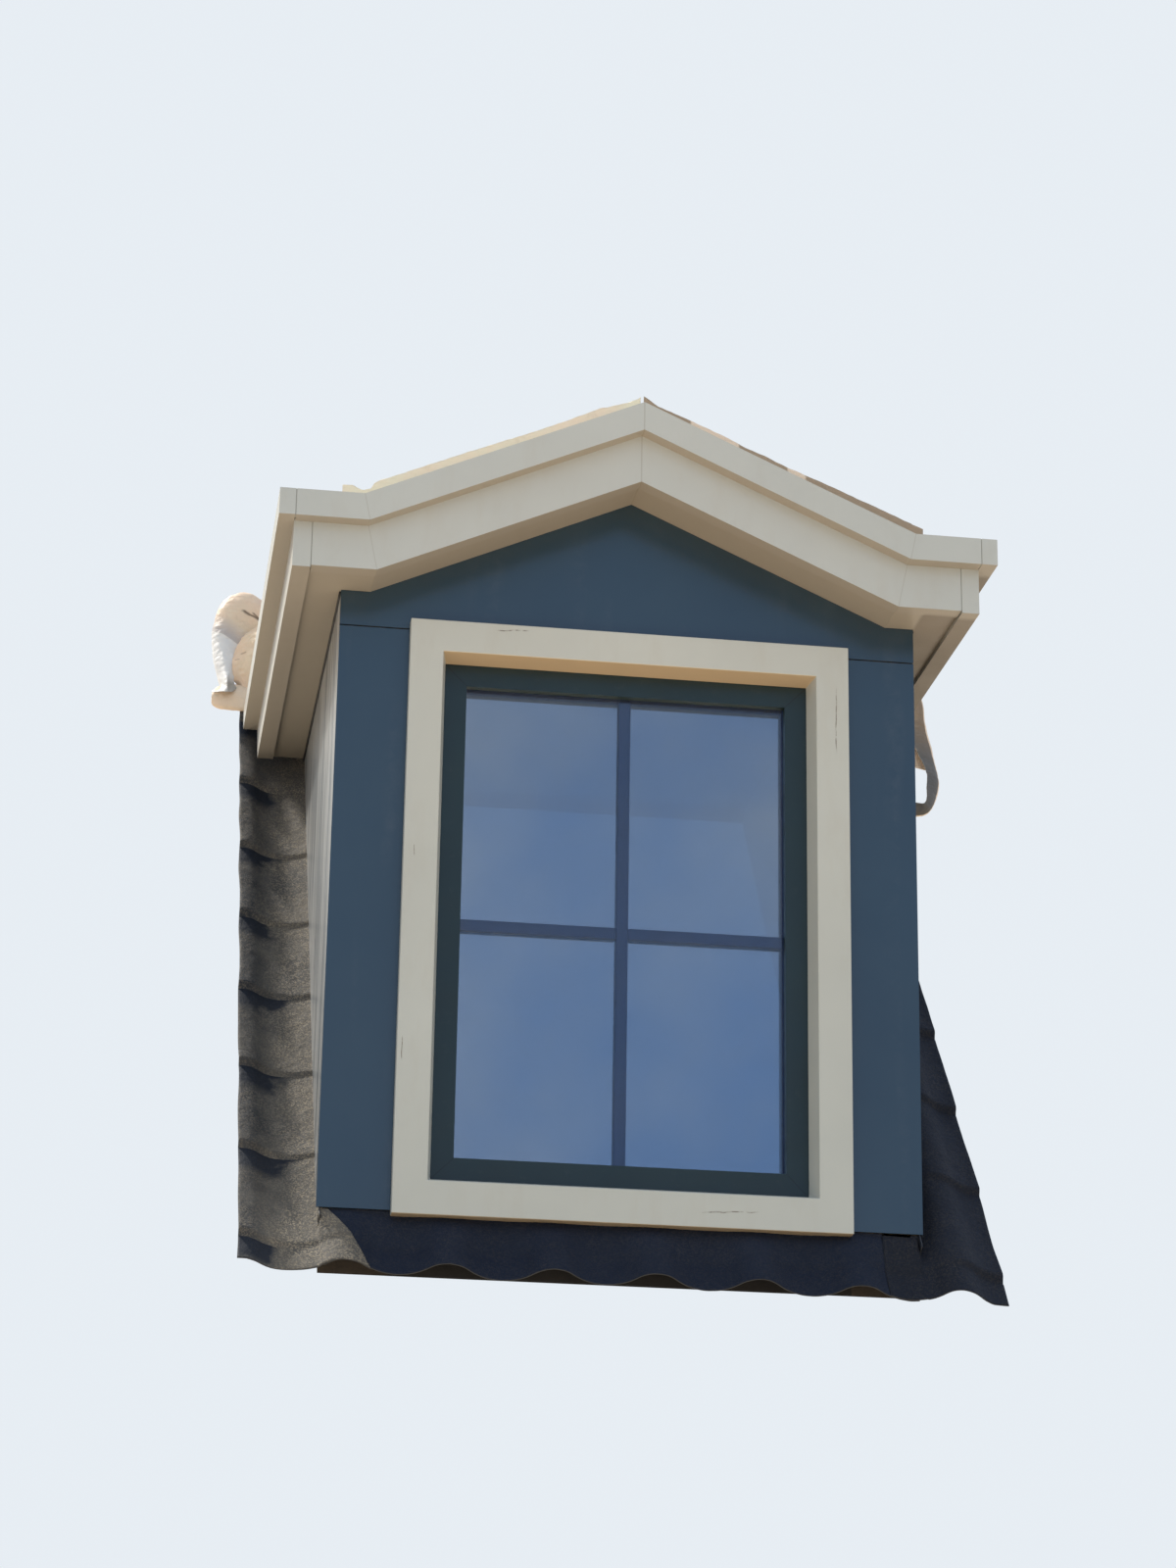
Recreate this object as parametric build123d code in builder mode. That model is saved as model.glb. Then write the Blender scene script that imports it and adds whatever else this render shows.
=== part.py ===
from build123d import *
from math import ceil, cos, radians, sin, sqrt, tan
import os

# Gabled dormer window for a steep roof, in millimetres.
# X runs along the front, Y back into the roof and Z up.
# The origin lies on the sloping seat, under the middle of the front base beam.

# The roof that the dormer sits on
roof_pitch = 51
cover_height = 90
tile_pitch = 209
tile_crest = 60
tile_wave = 34
crest_share = 0.38
course_length = 284
course_start = -50
course_step = 20

# Front wall, round the window
side_margin = 150
head_margin = 63
face_to_origin = 50
panel_thickness = 8
joint_drop = 15
panel_joint = 3

# Window
frame_width = 950
frame_height = 1288
frame_face = 71
frame_stand = 25
frame_depth = 115
frame_drop = 11
recess_depth = 60
side_taper = 11
head_taper = 7
sill_taper = 15
rebate_gap = 4
sash_face = 66
sash_depth = 55
sash_overlap = 19
glass_set_back = 18
glass_bite = 12
glass_gap = 2
pane_thickness = 4
pane_spacing = 16
spacer_width = 8

# Side walls, inside faces and base frame
lining_thickness = 12
ceiling_rise = 13
base_thickness = 38
top_beam_width = 45

# Eaves and roof: a flat stretch each side, and a gable between
gable_pitch = 23.8
bend_margin = 63
soffit_thickness = 10
front_drop = 5
side_drop = 9
board_joint = 2
fascia_thickness = 38
fascia_reach = 114
trim_underside = 93
trim_top = 152.5
trim_thickness = 34
front_overhang = 137
deck_underside = 89
deck_thickness = 18
membrane_thickness = 3
strip_height = 30
strip_thickness = 3
strip_flat = 80

# Flashing
flashing_thickness = 4
flashing_clearance = 4
left_waves = 4
left_lap = 8
right_waves = 3.5
flashing_foot = 70
flat_depth = 0.15
apron_inset = 87
flashing_length = 2250

# Loose liner at the flashing's upper ends
soft_gap = 0.4
roll_clearance = 15
roll_length = 350
roll_radius = 69
roll_inner_radius = 42
roll_tongue = 76
roll_wall = 6
flap_start = 1765
flap_length = 565
flap_reach = 190
flap_slant = 25
flap_height = 70
flap_corner = 75
flap_wall = 6

# Worked out from the values above
half_frame = frame_width / 2
half_front = half_frame + side_margin
wall_outer = half_front - panel_thickness
face_y = -face_to_origin
core_y = face_y + panel_thickness
frame_y = face_y - frame_stand
room_y = frame_y + frame_depth
gable_bend = half_front - bend_margin
slope = radians(roof_pitch)
along = Vector(0, cos(slope), sin(slope))
outward = Vector(0, -sin(slope), cos(slope))
gable = radians(gable_pitch)


def roof_z(y, height=0):
    """Height above the origin of a line that lies `height` off the seat, at depth y."""
    return y * tan(slope) + height / cos(slope)


def roof_y(z, height=0):
    """Depth at which that line reaches the height z."""
    return (z - height / cos(slope)) / tan(slope)


panel_bottom = roof_z(face_y, cover_height)
frame_bottom = panel_bottom - frame_drop
frame_top = frame_bottom + frame_height
soffit_z = frame_top + head_margin
joint_z = frame_top - joint_drop
ceiling_z = frame_top + ceiling_rise
fascia_y = face_y - front_overhang
fascia_x = half_front + fascia_reach
board_x = fascia_x - fascia_thickness
board_y = fascia_y + fascia_thickness
trim_x = fascia_x + trim_thickness
trim_y = fascia_y - trim_thickness
deck_top = deck_underside + deck_thickness
membrane_top = deck_top + membrane_thickness


def bend_x(rise):
    """Where the eaves' line turns from flat to sloping, `rise` above the soffit's face."""
    return gable_bend + rise * tan(gable / 2)


def gable_z(x, rise):
    """Height of the sloping line `rise` above the soffit's face, at distance x from the middle."""
    return soffit_z + rise + max(bend_x(rise) - x, 0) * tan(gable)


def folded_band(side, low, high, inner, outer):
    """Half of a flat and sloping band, from x = inner to x = outer on one side."""
    points = [(inner, gable_z(inner, low)), (bend_x(low), soffit_z + low)]
    points += [(outer, soffit_z + low), (outer, soffit_z + high)]
    points += [(bend_x(high), soffit_z + high), (inner, gable_z(inner, high))]
    return [(side * x, z) for x, z in points]


def gable_side(front_y, top_z, height):
    """Triangle of a side wall: upright front, level top and a foot along the roof."""
    return [(front_y, roof_z(front_y, height)), (front_y, top_z), (roof_y(top_z, height), top_z)]


def facing(y):
    """Upright plane at depth y that looks to the front, with X across and Z up."""
    return Plane(origin=(0, y, 0), x_dir=(1, 0, 0), z_dir=(0, -1, 0))


def roof_side(x):
    """Upright plane at x, with the way up the roof across and the roof's outward side up."""
    return Plane(origin=(x, 0, 0), x_dir=along, z_dir=(1, 0, 0))


def roof_section(station):
    """Plane across the roof at a station up the slope, looking down the slope."""
    return Plane(origin=along * station, x_dir=(1, 0, 0), z_dir=-along)


def roof_level(height):
    """Plane that lies `height` off the seat, parallel to the roof."""
    return Plane(origin=outward * height, x_dir=(1, 0, 0), z_dir=outward)


seat = roof_level(0)
cover = roof_level(cover_height)
ridge_z = gable_z(0, trim_top)
far_y = roof_y(ridge_z) + frame_depth
os.makedirs("parts", exist_ok=True)


# Base frame: two sloping rails, a wedge beam under the window and a beam at the top end
base_top = gable_z(fascia_x, deck_underside)
top_station = (ceiling_z - roof_z(0, cover_height / 2)) / tan(slope) / cos(slope)
top_station += cover_height / 2 * tan(slope)
for name, side in (("left", -1), ("right", 1)):
    with BuildPart() as rail:
        with BuildSketch(roof_section(top_station + top_beam_width)):
            with Locations((side * (half_frame + wall_outer) / 2, base_thickness / 2)):
                Rectangle(wall_outer - half_frame, base_thickness)
        extrude(amount=top_station + top_beam_width + far_y)
        split(bisect_by=facing(core_y), keep=Keep.BOTTOM)
    rail.part.label = f"base_rail_{name}"
    export_step(rail.part, f"parts/base_rail_{name}.step")

with BuildPart() as front_beam:
    with BuildSketch(Plane.YZ.offset(-half_frame)):
        with BuildLine():
            Polyline(
                (core_y, roof_z(core_y)),
                (core_y, frame_bottom),
                (room_y, frame_bottom),
                (room_y, roof_z(room_y)),
                close=True,
            )
        make_face()
    extrude(amount=frame_width)
front_beam.part.label = "front_base_beam"
export_step(front_beam.part, "parts/front_base_beam.step")

with BuildPart() as top_beam:
    with BuildSketch(roof_section(top_station + top_beam_width)):
        with Locations((0, cover_height / 2)):
            Rectangle(frame_width, cover_height)
    extrude(amount=top_beam_width)
top_beam.part.label = "top_base_beam"
export_step(top_beam.part, "parts/top_base_beam.step")


# Side walls: an insulated core on the base rail, blue cladding outside and a lining inside
for name, side in (("left", -1), ("right", 1)):
    with BuildPart() as core:
        with BuildSketch(Plane.YZ.offset(side * half_frame)):
            with BuildLine():
                Polyline(*gable_side(core_y, base_top, base_thickness), close=True)
            make_face()
        extrude(amount=side * (wall_outer - half_frame))
    core.part.label = f"cheek_wall_{name}"
    export_step(core.part, f"parts/cheek_wall_{name}.step")

    with BuildPart() as cladding:
        with BuildSketch(Plane.YZ.offset(side * wall_outer)):
            with BuildLine():
                Polyline(*gable_side(core_y, soffit_z, cover_height), close=True)
            make_face()
        extrude(amount=side * panel_thickness)
    cladding.part.label = f"cheek_cladding_{name}"
    export_step(cladding.part, f"parts/cheek_cladding_{name}.step")

    with BuildPart() as lining:
        with BuildSketch(Plane.YZ.offset(side * half_frame)):
            with BuildLine():
                Polyline(*gable_side(room_y, ceiling_z, 0), close=True)
            make_face()
        extrude(amount=-side * lining_thickness)
        split(bisect_by=roof_section(top_station), keep=Keep.TOP)
    lining.part.label = f"cheek_lining_{name}"
    export_step(lining.part, f"parts/cheek_lining_{name}.step")

with BuildPart() as ceiling:
    with BuildSketch(Plane.YZ.offset(-half_frame)):
        with BuildLine():
            Polyline(
                (room_y, ceiling_z),
                (room_y, ceiling_z + lining_thickness),
                (far_y, ceiling_z + lining_thickness),
                (far_y, ceiling_z),
                close=True,
            )
        make_face()
    extrude(amount=frame_width)
    split(bisect_by=seat, keep=Keep.TOP)
    split(bisect_by=roof_section(top_station), keep=Keep.TOP)
ceiling.part.label = "ceiling_lining"
export_step(ceiling.part, "parts/ceiling_lining.step")


# Front wall over the window, and the blue panels round it
with BuildPart() as gable_wall:
    with BuildSketch(facing(room_y)):
        with BuildLine():
            Polyline(
                (-half_frame, frame_top),
                (half_frame, frame_top),
                (half_frame, gable_z(half_frame, deck_underside)),
                (0, gable_z(0, deck_underside)),
                (-half_frame, gable_z(half_frame, deck_underside)),
                close=True,
            )
        make_face()
    extrude(amount=room_y - core_y)
gable_wall.part.label = "gable_wall"
export_step(gable_wall.part, "parts/gable_wall.step")

with BuildPart() as gable_panel:
    with BuildSketch(facing(core_y)):
        with BuildLine():
            Polyline(
                (-half_front, joint_z),
                (-half_frame, joint_z),
                (-half_frame, frame_top),
                (half_frame, frame_top),
                (half_frame, joint_z),
                (half_front, joint_z),
                (half_front, soffit_z),
                (gable_bend, soffit_z),
                (0, gable_z(0, 0)),
                (-gable_bend, soffit_z),
                (-half_front, soffit_z),
                close=True,
            )
        make_face()
    extrude(amount=panel_thickness)
gable_panel.part.label = "gable_panel"
export_step(gable_panel.part, "parts/gable_panel.step")

for name, side in (("left", -1), ("right", 1)):
    with BuildPart() as panel:
        with BuildSketch(facing(core_y)):
            with BuildLine():
                Polyline(
                    (side * half_frame, panel_bottom),
                    (side * half_front, panel_bottom),
                    (side * half_front, joint_z - panel_joint),
                    (side * half_frame, joint_z - panel_joint),
                    close=True,
                )
            make_face()
        extrude(amount=panel_thickness)
    panel.part.label = f"front_panel_{name}"
    export_step(panel.part, f"parts/front_panel_{name}.step")


# Window frame: one ring with a tapered reveal and a rebate, cut at its mitres into four members
recess_y = frame_y + recess_depth
frame_middle = frame_bottom + frame_height / 2
opening = frame_width - 2 * frame_face
opening_height = frame_height - 2 * frame_face
narrow = opening - 2 * side_taper
narrow_height = opening_height - head_taper - sill_taper
narrow_middle = frame_middle + (sill_taper - head_taper) / 2
rebate = narrow + 2 * (sash_overlap + rebate_gap)
rebate_height = narrow_height + 2 * (sash_overlap + rebate_gap)

with BuildPart(mode=Mode.PRIVATE) as frame_ring:
    with BuildSketch(facing(frame_y + frame_depth)):
        with Locations((0, frame_middle)):
            Rectangle(frame_width, frame_height)
    extrude(amount=frame_depth)
    with BuildSketch(facing(frame_y)):
        with Locations((0, frame_middle)):
            Rectangle(opening, opening_height)
    with BuildSketch(facing(recess_y)):
        with Locations((0, narrow_middle)):
            Rectangle(narrow, narrow_height)
    loft(mode=Mode.SUBTRACT)
    with BuildSketch(facing(frame_y + frame_depth)):
        with Locations((0, narrow_middle)):
            Rectangle(rebate, rebate_height)
    extrude(amount=frame_depth - recess_depth, mode=Mode.SUBTRACT)


def mitre_wedge(centre_z, width, height, turn):
    """Wedge that holds one member of a mitred ring: turn 0 head, 1 right, 2 sill, 3 left."""
    half_w = width / 2
    half_h = height / 2
    inset = min(half_w, half_h)
    if turn in (0, 2):
        sign = 1 if turn == 0 else -1
        points = [(-half_w, sign * half_h), (half_w, sign * half_h)]
        points += [(half_w - inset, sign * (half_h - inset))]
        points += [(inset - half_w, sign * (half_h - inset))]
    else:
        sign = 1 if turn == 1 else -1
        points = [(sign * half_w, half_h), (sign * half_w, -half_h)]
        points += [(sign * (half_w - inset), inset - half_h)]
        points += [(sign * (half_w - inset), half_h - inset)]
    outline = []
    for x, z in points:
        if (x, z + centre_z) not in outline:
            outline.append((x, z + centre_z))
    return outline


members = (("head", 0), ("jamb_right", 1), ("sill", 2), ("jamb_left", 3))
for name, turn in members:
    with BuildPart() as member:
        with BuildSketch(facing(frame_y + frame_depth)):
            with BuildLine():
                Polyline(*mitre_wedge(frame_middle, frame_width, frame_height, turn), close=True)
            make_face()
        extrude(amount=frame_depth)
        add(frame_ring.part, mode=Mode.INTERSECT)
    member.part.label = f"window_frame_{name}"
    export_step(member.part, f"parts/window_frame_{name}.step")


# Sash: a mitred ring behind the frame's lip, with a groove for the double glazing
sash_width = narrow + 2 * sash_overlap
sash_height = narrow_height + 2 * sash_overlap
glass_y = recess_y + glass_set_back
unit_thickness = 2 * pane_thickness + pane_spacing
sight = sash_width - 2 * sash_face
sight_height = sash_height - 2 * sash_face
groove = sight + 2 * (glass_bite + glass_gap)
groove_height = sight_height + 2 * (glass_bite + glass_gap)

with BuildPart(mode=Mode.PRIVATE) as sash_ring:
    with BuildSketch(facing(recess_y + sash_depth)):
        with Locations((0, narrow_middle)):
            Rectangle(sash_width, sash_height)
            Rectangle(sight, sight_height, mode=Mode.SUBTRACT)
    extrude(amount=sash_depth)
    with BuildSketch(facing(glass_y + unit_thickness)):
        with Locations((0, narrow_middle)):
            Rectangle(groove, groove_height)
    extrude(amount=unit_thickness, mode=Mode.SUBTRACT)

members = (("top_rail", 0), ("stile_right", 1), ("bottom_rail", 2), ("stile_left", 3))
for name, turn in members:
    with BuildPart() as member:
        with BuildSketch(facing(recess_y + sash_depth)):
            with BuildLine():
                Polyline(*mitre_wedge(narrow_middle, sash_width, sash_height, turn), close=True)
            make_face()
        extrude(amount=sash_depth)
        add(sash_ring.part, mode=Mode.INTERSECT)
    member.part.label = f"sash_{name}"
    export_step(member.part, f"parts/sash_{name}.step")


# Double glazing: two panes and the spacer between their edges
pane_width = sight + 2 * glass_bite
pane_height = sight_height + 2 * glass_bite
with BuildPart() as panes:
    for y in (glass_y + pane_thickness, glass_y + unit_thickness):
        with BuildSketch(facing(y)):
            with Locations((0, narrow_middle)):
                Rectangle(pane_width, pane_height)
        extrude(amount=pane_thickness)
panes.part.label = "glass_panes"
export_step(panes.part, "parts/glass_panes.step")

with BuildPart() as spacer:
    with BuildSketch(facing(glass_y + pane_thickness + pane_spacing)):
        with Locations((0, narrow_middle)):
            Rectangle(pane_width - spacer_width, pane_height - spacer_width)
            Rectangle(
                pane_width - 3 * spacer_width, pane_height - 3 * spacer_width, mode=Mode.SUBTRACT
            )
    extrude(amount=pane_spacing)
spacer.part.label = "glazing_spacer"
export_step(spacer.part, "parts/glazing_spacer.step")


# Eaves, left and right: soffit, fascia boards and the stepped trim on their top
for name, side in (("left", -1), ("right", 1)):
    with BuildPart() as soffit:
        with BuildSketch(facing(core_y)):
            with BuildLine():
                Polyline(*folded_band(side, 0, soffit_thickness, 0, board_x), close=True)
            make_face()
        extrude(amount=core_y - board_y)
        with BuildSketch(facing(far_y)):
            with BuildLine():
                Polyline(
                    (side * wall_outer, soffit_z),
                    (side * board_x, soffit_z),
                    (side * board_x, soffit_z + soffit_thickness),
                    (side * wall_outer, soffit_z + soffit_thickness),
                    close=True,
                )
            make_face()
        extrude(amount=far_y - core_y)
        split(bisect_by=cover, keep=Keep.TOP)
    soffit.part.label = f"soffit_{name}"
    export_step(soffit.part, f"parts/soffit_{name}.step")

    with BuildPart() as front_fascia:
        with BuildSketch(facing(board_y)):
            with BuildLine():
                Polyline(
                    *folded_band(side, -front_drop, trim_top, 0, board_x - board_joint),
                    close=True,
                )
            make_face()
        extrude(amount=fascia_thickness)
    front_fascia.part.label = f"front_fascia_{name}"
    export_step(front_fascia.part, f"parts/front_fascia_{name}.step")

    with BuildPart() as side_fascia:
        with BuildSketch(facing(far_y)):
            with BuildLine():
                Polyline(
                    (side * board_x, soffit_z - side_drop),
                    (side * fascia_x, soffit_z - side_drop),
                    (side * fascia_x, soffit_z + trim_top),
                    (side * board_x, soffit_z + trim_top),
                    close=True,
                )
            make_face()
        extrude(amount=far_y - fascia_y)
        split(bisect_by=cover, keep=Keep.TOP)
    side_fascia.part.label = f"side_fascia_{name}"
    export_step(side_fascia.part, f"parts/side_fascia_{name}.step")

    with BuildPart() as front_trim:
        with BuildSketch(facing(fascia_y)):
            with BuildLine():
                Polyline(
                    *folded_band(side, trim_underside, trim_top, 0, fascia_x - board_joint),
                    close=True,
                )
            make_face()
        extrude(amount=trim_thickness)
    front_trim.part.label = f"front_trim_{name}"
    export_step(front_trim.part, f"parts/front_trim_{name}.step")

    with BuildPart() as side_trim:
        with BuildSketch(facing(far_y)):
            with BuildLine():
                Polyline(
                    (side * fascia_x, soffit_z + trim_underside),
                    (side * trim_x, soffit_z + trim_underside),
                    (side * trim_x, soffit_z + trim_top),
                    (side * fascia_x, soffit_z + trim_top),
                    close=True,
                )
            make_face()
        extrude(amount=far_y - trim_y)
        split(bisect_by=cover, keep=Keep.TOP)
    side_trim.part.label = f"side_trim_{name}"
    export_step(side_trim.part, f"parts/side_trim_{name}.step")

    with BuildPart() as deck:
        with BuildSketch(facing(far_y)):
            with BuildLine():
                Polyline(
                    (0, gable_z(0, deck_underside)),
                    (side * bend_x(deck_underside), soffit_z + deck_underside),
                    (side * bend_x(deck_top), soffit_z + deck_top),
                    (0, gable_z(0, deck_top)),
                    close=True,
                )
            make_face()
        extrude(amount=far_y - board_y)
        split(bisect_by=seat, keep=Keep.TOP)
    deck.part.label = f"roof_deck_{name}"
    export_step(deck.part, f"parts/roof_deck_{name}.step")


# Roof: gutter boards outside the decks, and one membrane over decks, gutters and fascia tops
with BuildPart() as gutters:
    for side in (-1, 1):
        with BuildSketch(facing(far_y)):
            with BuildLine():
                Polyline(
                    (side * bend_x(deck_underside), soffit_z + deck_underside),
                    (side * board_x, soffit_z + deck_underside),
                    (side * board_x, soffit_z + deck_top),
                    (side * bend_x(deck_top), soffit_z + deck_top),
                    close=True,
                )
            make_face()
        extrude(amount=far_y - board_y)
    split(bisect_by=cover, keep=Keep.TOP)
gutters.part.label = "gutter_boards"
export_step(gutters.part, "parts/gutter_boards.step")

with BuildPart() as membrane:
    for side in (-1, 1):
        with BuildSketch(facing(far_y)):
            with BuildLine():
                Polyline(*folded_band(side, deck_top, membrane_top, 0, board_x), close=True)
            make_face()
        extrude(amount=far_y - board_y)
        with BuildSketch(facing(board_y + membrane_thickness)):
            with BuildLine():
                Polyline(
                    *folded_band(side, deck_top, trim_top + membrane_thickness, 0, board_x),
                    close=True,
                )
            make_face()
        extrude(amount=membrane_thickness)
        with BuildSketch(facing(board_y)):
            with BuildLine():
                Polyline(
                    *folded_band(side, trim_top, trim_top + membrane_thickness, 0, fascia_x),
                    close=True,
                )
            make_face()
        extrude(amount=fascia_thickness)
        with BuildSketch(facing(far_y)):
            with BuildLine():
                Polyline(
                    (side * (board_x - membrane_thickness), soffit_z + deck_top),
                    (side * board_x, soffit_z + deck_top),
                    (side * board_x, soffit_z + trim_top),
                    (side * fascia_x, soffit_z + trim_top),
                    (side * fascia_x, soffit_z + trim_top + membrane_thickness),
                    (
                        side * (board_x - membrane_thickness),
                        soffit_z + trim_top + membrane_thickness,
                    ),
                    close=True,
                )
            make_face()
        extrude(amount=far_y - board_y)
    split(bisect_by=cover, keep=Keep.TOP)
membrane.part.label = "roof_membrane"
export_step(membrane.part, "parts/roof_membrane.step")

# Turned-up raw edge that stands on the fascia's top along the gable
with BuildPart() as strips:
    strip_foot = trim_top + membrane_thickness
    for side in (-1, 1):
        with BuildSketch(facing(fascia_y + strip_thickness)):
            with BuildLine():
                Polyline(
                    *folded_band(
                        side,
                        strip_foot,
                        strip_foot + strip_height,
                        strip_thickness,
                        gable_bend + strip_flat,
                    ),
                    close=True,
                )
            make_face()
        extrude(amount=strip_thickness)
strips.part.label = "edge_strips"
export_step(strips.part, "parts/edge_strips.step")


# Flashing: a skirt dressed over the tiles, in waves across the roof and in steps up it
crest_level = cover_height - flashing_clearance
trough_level = crest_level - tile_wave
back_level = trough_level - course_step - flashing_thickness
apron_end = wall_outer - apron_inset
half_pitch = tile_pitch / 2
crest_half = crest_share * half_pitch
wave_radii = (half_pitch**2 + tile_wave**2) / (2 * tile_wave)
crest_radius = crest_share * wave_radii
trough_radius = wave_radii - crest_radius


def wave_rise(x):
    """Height of the wave above its troughs: round crests that run into round troughs."""
    reach = abs((x - tile_crest + half_pitch) % tile_pitch - half_pitch)
    if reach < crest_half:
        return tile_wave - crest_radius + sqrt(crest_radius**2 - reach**2)
    return trough_radius - sqrt(trough_radius**2 - (half_pitch - reach) ** 2)


def wave_breaks(start, end):
    """Both ends, and the places between them where a crest's arc meets a trough's."""
    turns = ceil(max(abs(start), abs(end)) / tile_pitch) + 1
    breaks = [start, end]
    for turn in range(-turns, turns + 1):
        for edge in (-crest_half, crest_half):
            x = tile_crest + turn * tile_pitch + edge
            if start < x < end:
                breaks.append(x)
    return sorted(breaks)


def skirt_section(start, end, station, drop, depth=1.0):
    """Cut through the flashing across the roof, `drop` below its highest level.

    `depth` is the share of the tiles' wave that the flashing follows there.
    """
    breaks = wave_breaks(start, end)
    top = trough_level - drop + (1 - depth) * tile_wave
    with BuildSketch(roof_section(station)) as section:
        with BuildLine():
            for level in (top, top - flashing_thickness):
                for left, right in zip(breaks, breaks[1:]):
                    middle = (left + right) / 2
                    ThreePointArc(
                        (left, level + depth * wave_rise(left)),
                        (middle, level + depth * wave_rise(middle)),
                        (right, level + depth * wave_rise(right)),
                    )
            for x in (start, end):
                edge = top + depth * wave_rise(x)
                Line((x, edge), (x, edge - flashing_thickness))
        make_face()
    return section.sketch.face()


def skirt_sections(start, end, low, high):
    """Sections from the station low up to high: the flashing falls along each course of tiles."""
    sections = []
    step = course_start
    sections.append(skirt_section(start, end, low, foot_drop))
    while step < high:
        sections.append(skirt_section(start, end, step - flashing_thickness, course_step))
        sections.append(skirt_section(start, end, step, 0))
        step += course_length
    last_drop = course_step * (high - step + course_length) / course_length
    sections.append(skirt_section(start, end, high, last_drop))
    return sections


foot_station = course_start - flashing_foot
foot_drop = course_step * (1 - flashing_foot / course_length)
wall_station = (core_y + crest_level * sin(slope)) / cos(slope)
with BuildPart() as apron:
    loft(
        [
            skirt_section(-apron_end, apron_end, foot_station, foot_drop),
            skirt_section(-apron_end, apron_end, course_start - flashing_thickness, course_step),
            skirt_section(-apron_end, apron_end, course_start, 0),
            skirt_section(-apron_end, apron_end, wall_station, flashing_thickness, flat_depth),
            skirt_section(-apron_end, apron_end, cover_height, flashing_thickness, flat_depth),
        ],
        ruled=True,
    )
    split(bisect_by=facing(core_y), keep=Keep.TOP)
    with BuildSketch(facing(core_y)):
        with Locations((0, frame_middle)):
            Rectangle(frame_width, frame_height)
    extrude(amount=core_y - frame_y, mode=Mode.SUBTRACT)
    with BuildSketch(facing(core_y)):
        with BuildLine():
            Polyline(
                (-apron_end, roof_z(core_y, back_level)),
                (apron_end, roof_z(core_y, back_level)),
                (apron_end, panel_bottom),
                (half_frame, panel_bottom),
                (half_frame, frame_bottom),
                (-half_frame, frame_bottom),
                (-half_frame, panel_bottom),
                (-apron_end, panel_bottom),
                close=True,
            )
        make_face()
    extrude(amount=flashing_thickness)
apron.part.label = "apron_flashing"
export_step(apron.part, "parts/apron_flashing.step")

cladding_end = roof_y(soffit_z, cover_height)
left_crest = tile_crest - left_waves * tile_pitch
left_edge = left_crest - left_lap
right_edge = tile_crest + right_waves * tile_pitch
for name, side, edge in (("left", -1, left_edge), ("right", 1, right_edge)):
    start, end = sorted((side * apron_end, edge))
    with BuildPart() as side_flashing:
        loft(skirt_sections(start, end, foot_station, flashing_length), ruled=True)
        with BuildSketch(facing(far_y)):
            with Locations((0, ridge_z / 2)):
                Rectangle(2 * wall_outer, 2 * ridge_z)
        extrude(amount=far_y - core_y, mode=Mode.SUBTRACT)
        with BuildSketch(Plane.YZ.offset(side * wall_outer)):
            with BuildLine():
                Polyline(
                    (core_y, roof_z(core_y, back_level)),
                    (core_y, roof_z(core_y, cover_height)),
                    (cladding_end, roof_z(cladding_end, cover_height)),
                    (cladding_end, roof_z(cladding_end, back_level)),
                    close=True,
                )
            make_face()
        extrude(amount=side * flashing_thickness)
        with BuildSketch(facing(core_y)):
            with BuildLine():
                Polyline(
                    (side * apron_end, roof_z(core_y, back_level)),
                    (side * (wall_outer + flashing_thickness), roof_z(core_y, back_level)),
                    (side * (wall_outer + flashing_thickness), panel_bottom),
                    (side * apron_end, panel_bottom),
                    close=True,
                )
            make_face()
        extrude(amount=flashing_thickness)
    side_flashing.part.label = f"side_flashing_{name}"
    export_step(side_flashing.part, f"parts/side_flashing_{name}.step")


# Loose liner: on the left it is rolled up above the eaves, on the right it hangs in a bow
eaves_end_z = gable_z(fascia_x, trim_top + membrane_thickness)
eaves_end_y = roof_y(eaves_end_z, cover_height)
roll_start = eaves_end_y * cos(slope) + eaves_end_z * sin(slope) + roll_clearance
roll_level = crest_level + soft_gap + roll_wall / 2
roll_top = roll_level + 2 * roll_radius
with BuildPart() as roll:
    with BuildSketch(roof_section(roll_start + roll_length)):
        with BuildLine():
            Line((left_crest - roll_tongue, roll_level), (left_crest, roll_level))
            ThreePointArc(
                (left_crest, roll_level),
                (left_crest + roll_radius, roll_level + roll_radius),
                (left_crest, roll_top),
            )
            ThreePointArc(
                (left_crest, roll_top),
                (left_crest - roll_radius, roll_top - roll_radius),
                (left_crest, roll_top - 2 * roll_radius + 2 * roll_wall),
            )
            ThreePointArc(
                (left_crest, roll_top - 2 * roll_radius + 2 * roll_wall),
                (left_crest + roll_inner_radius, roll_level + 2 * roll_wall + roll_inner_radius),
                (left_crest, roll_level + 2 * roll_wall + 2 * roll_inner_radius),
            )
        trace(line_width=roll_wall)
    extrude(amount=roll_length)
roll.part.label = "liner_roll_left"
export_step(roll.part, "parts/liner_roll_left.step")

flap_x = right_edge + soft_gap
with BuildPart() as flap:
    with BuildSketch(roof_level(back_level)):
        with BuildLine():
            FilletPolyline(
                (flap_x, flap_start + flap_length),
                (flap_x + flap_reach, flap_start + flap_length),
                (flap_x + flap_reach - flap_slant, flap_start),
                (flap_x, flap_start),
                radius=flap_corner,
            )
        trace(line_width=flap_wall)
    extrude(amount=flap_height)
flap.part.label = "liner_flap_right"
export_step(flap.part, "parts/liner_flap_right.step")
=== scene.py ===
import math

import bpy
import bmesh
from mathutils import Matrix, Vector, noise


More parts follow.
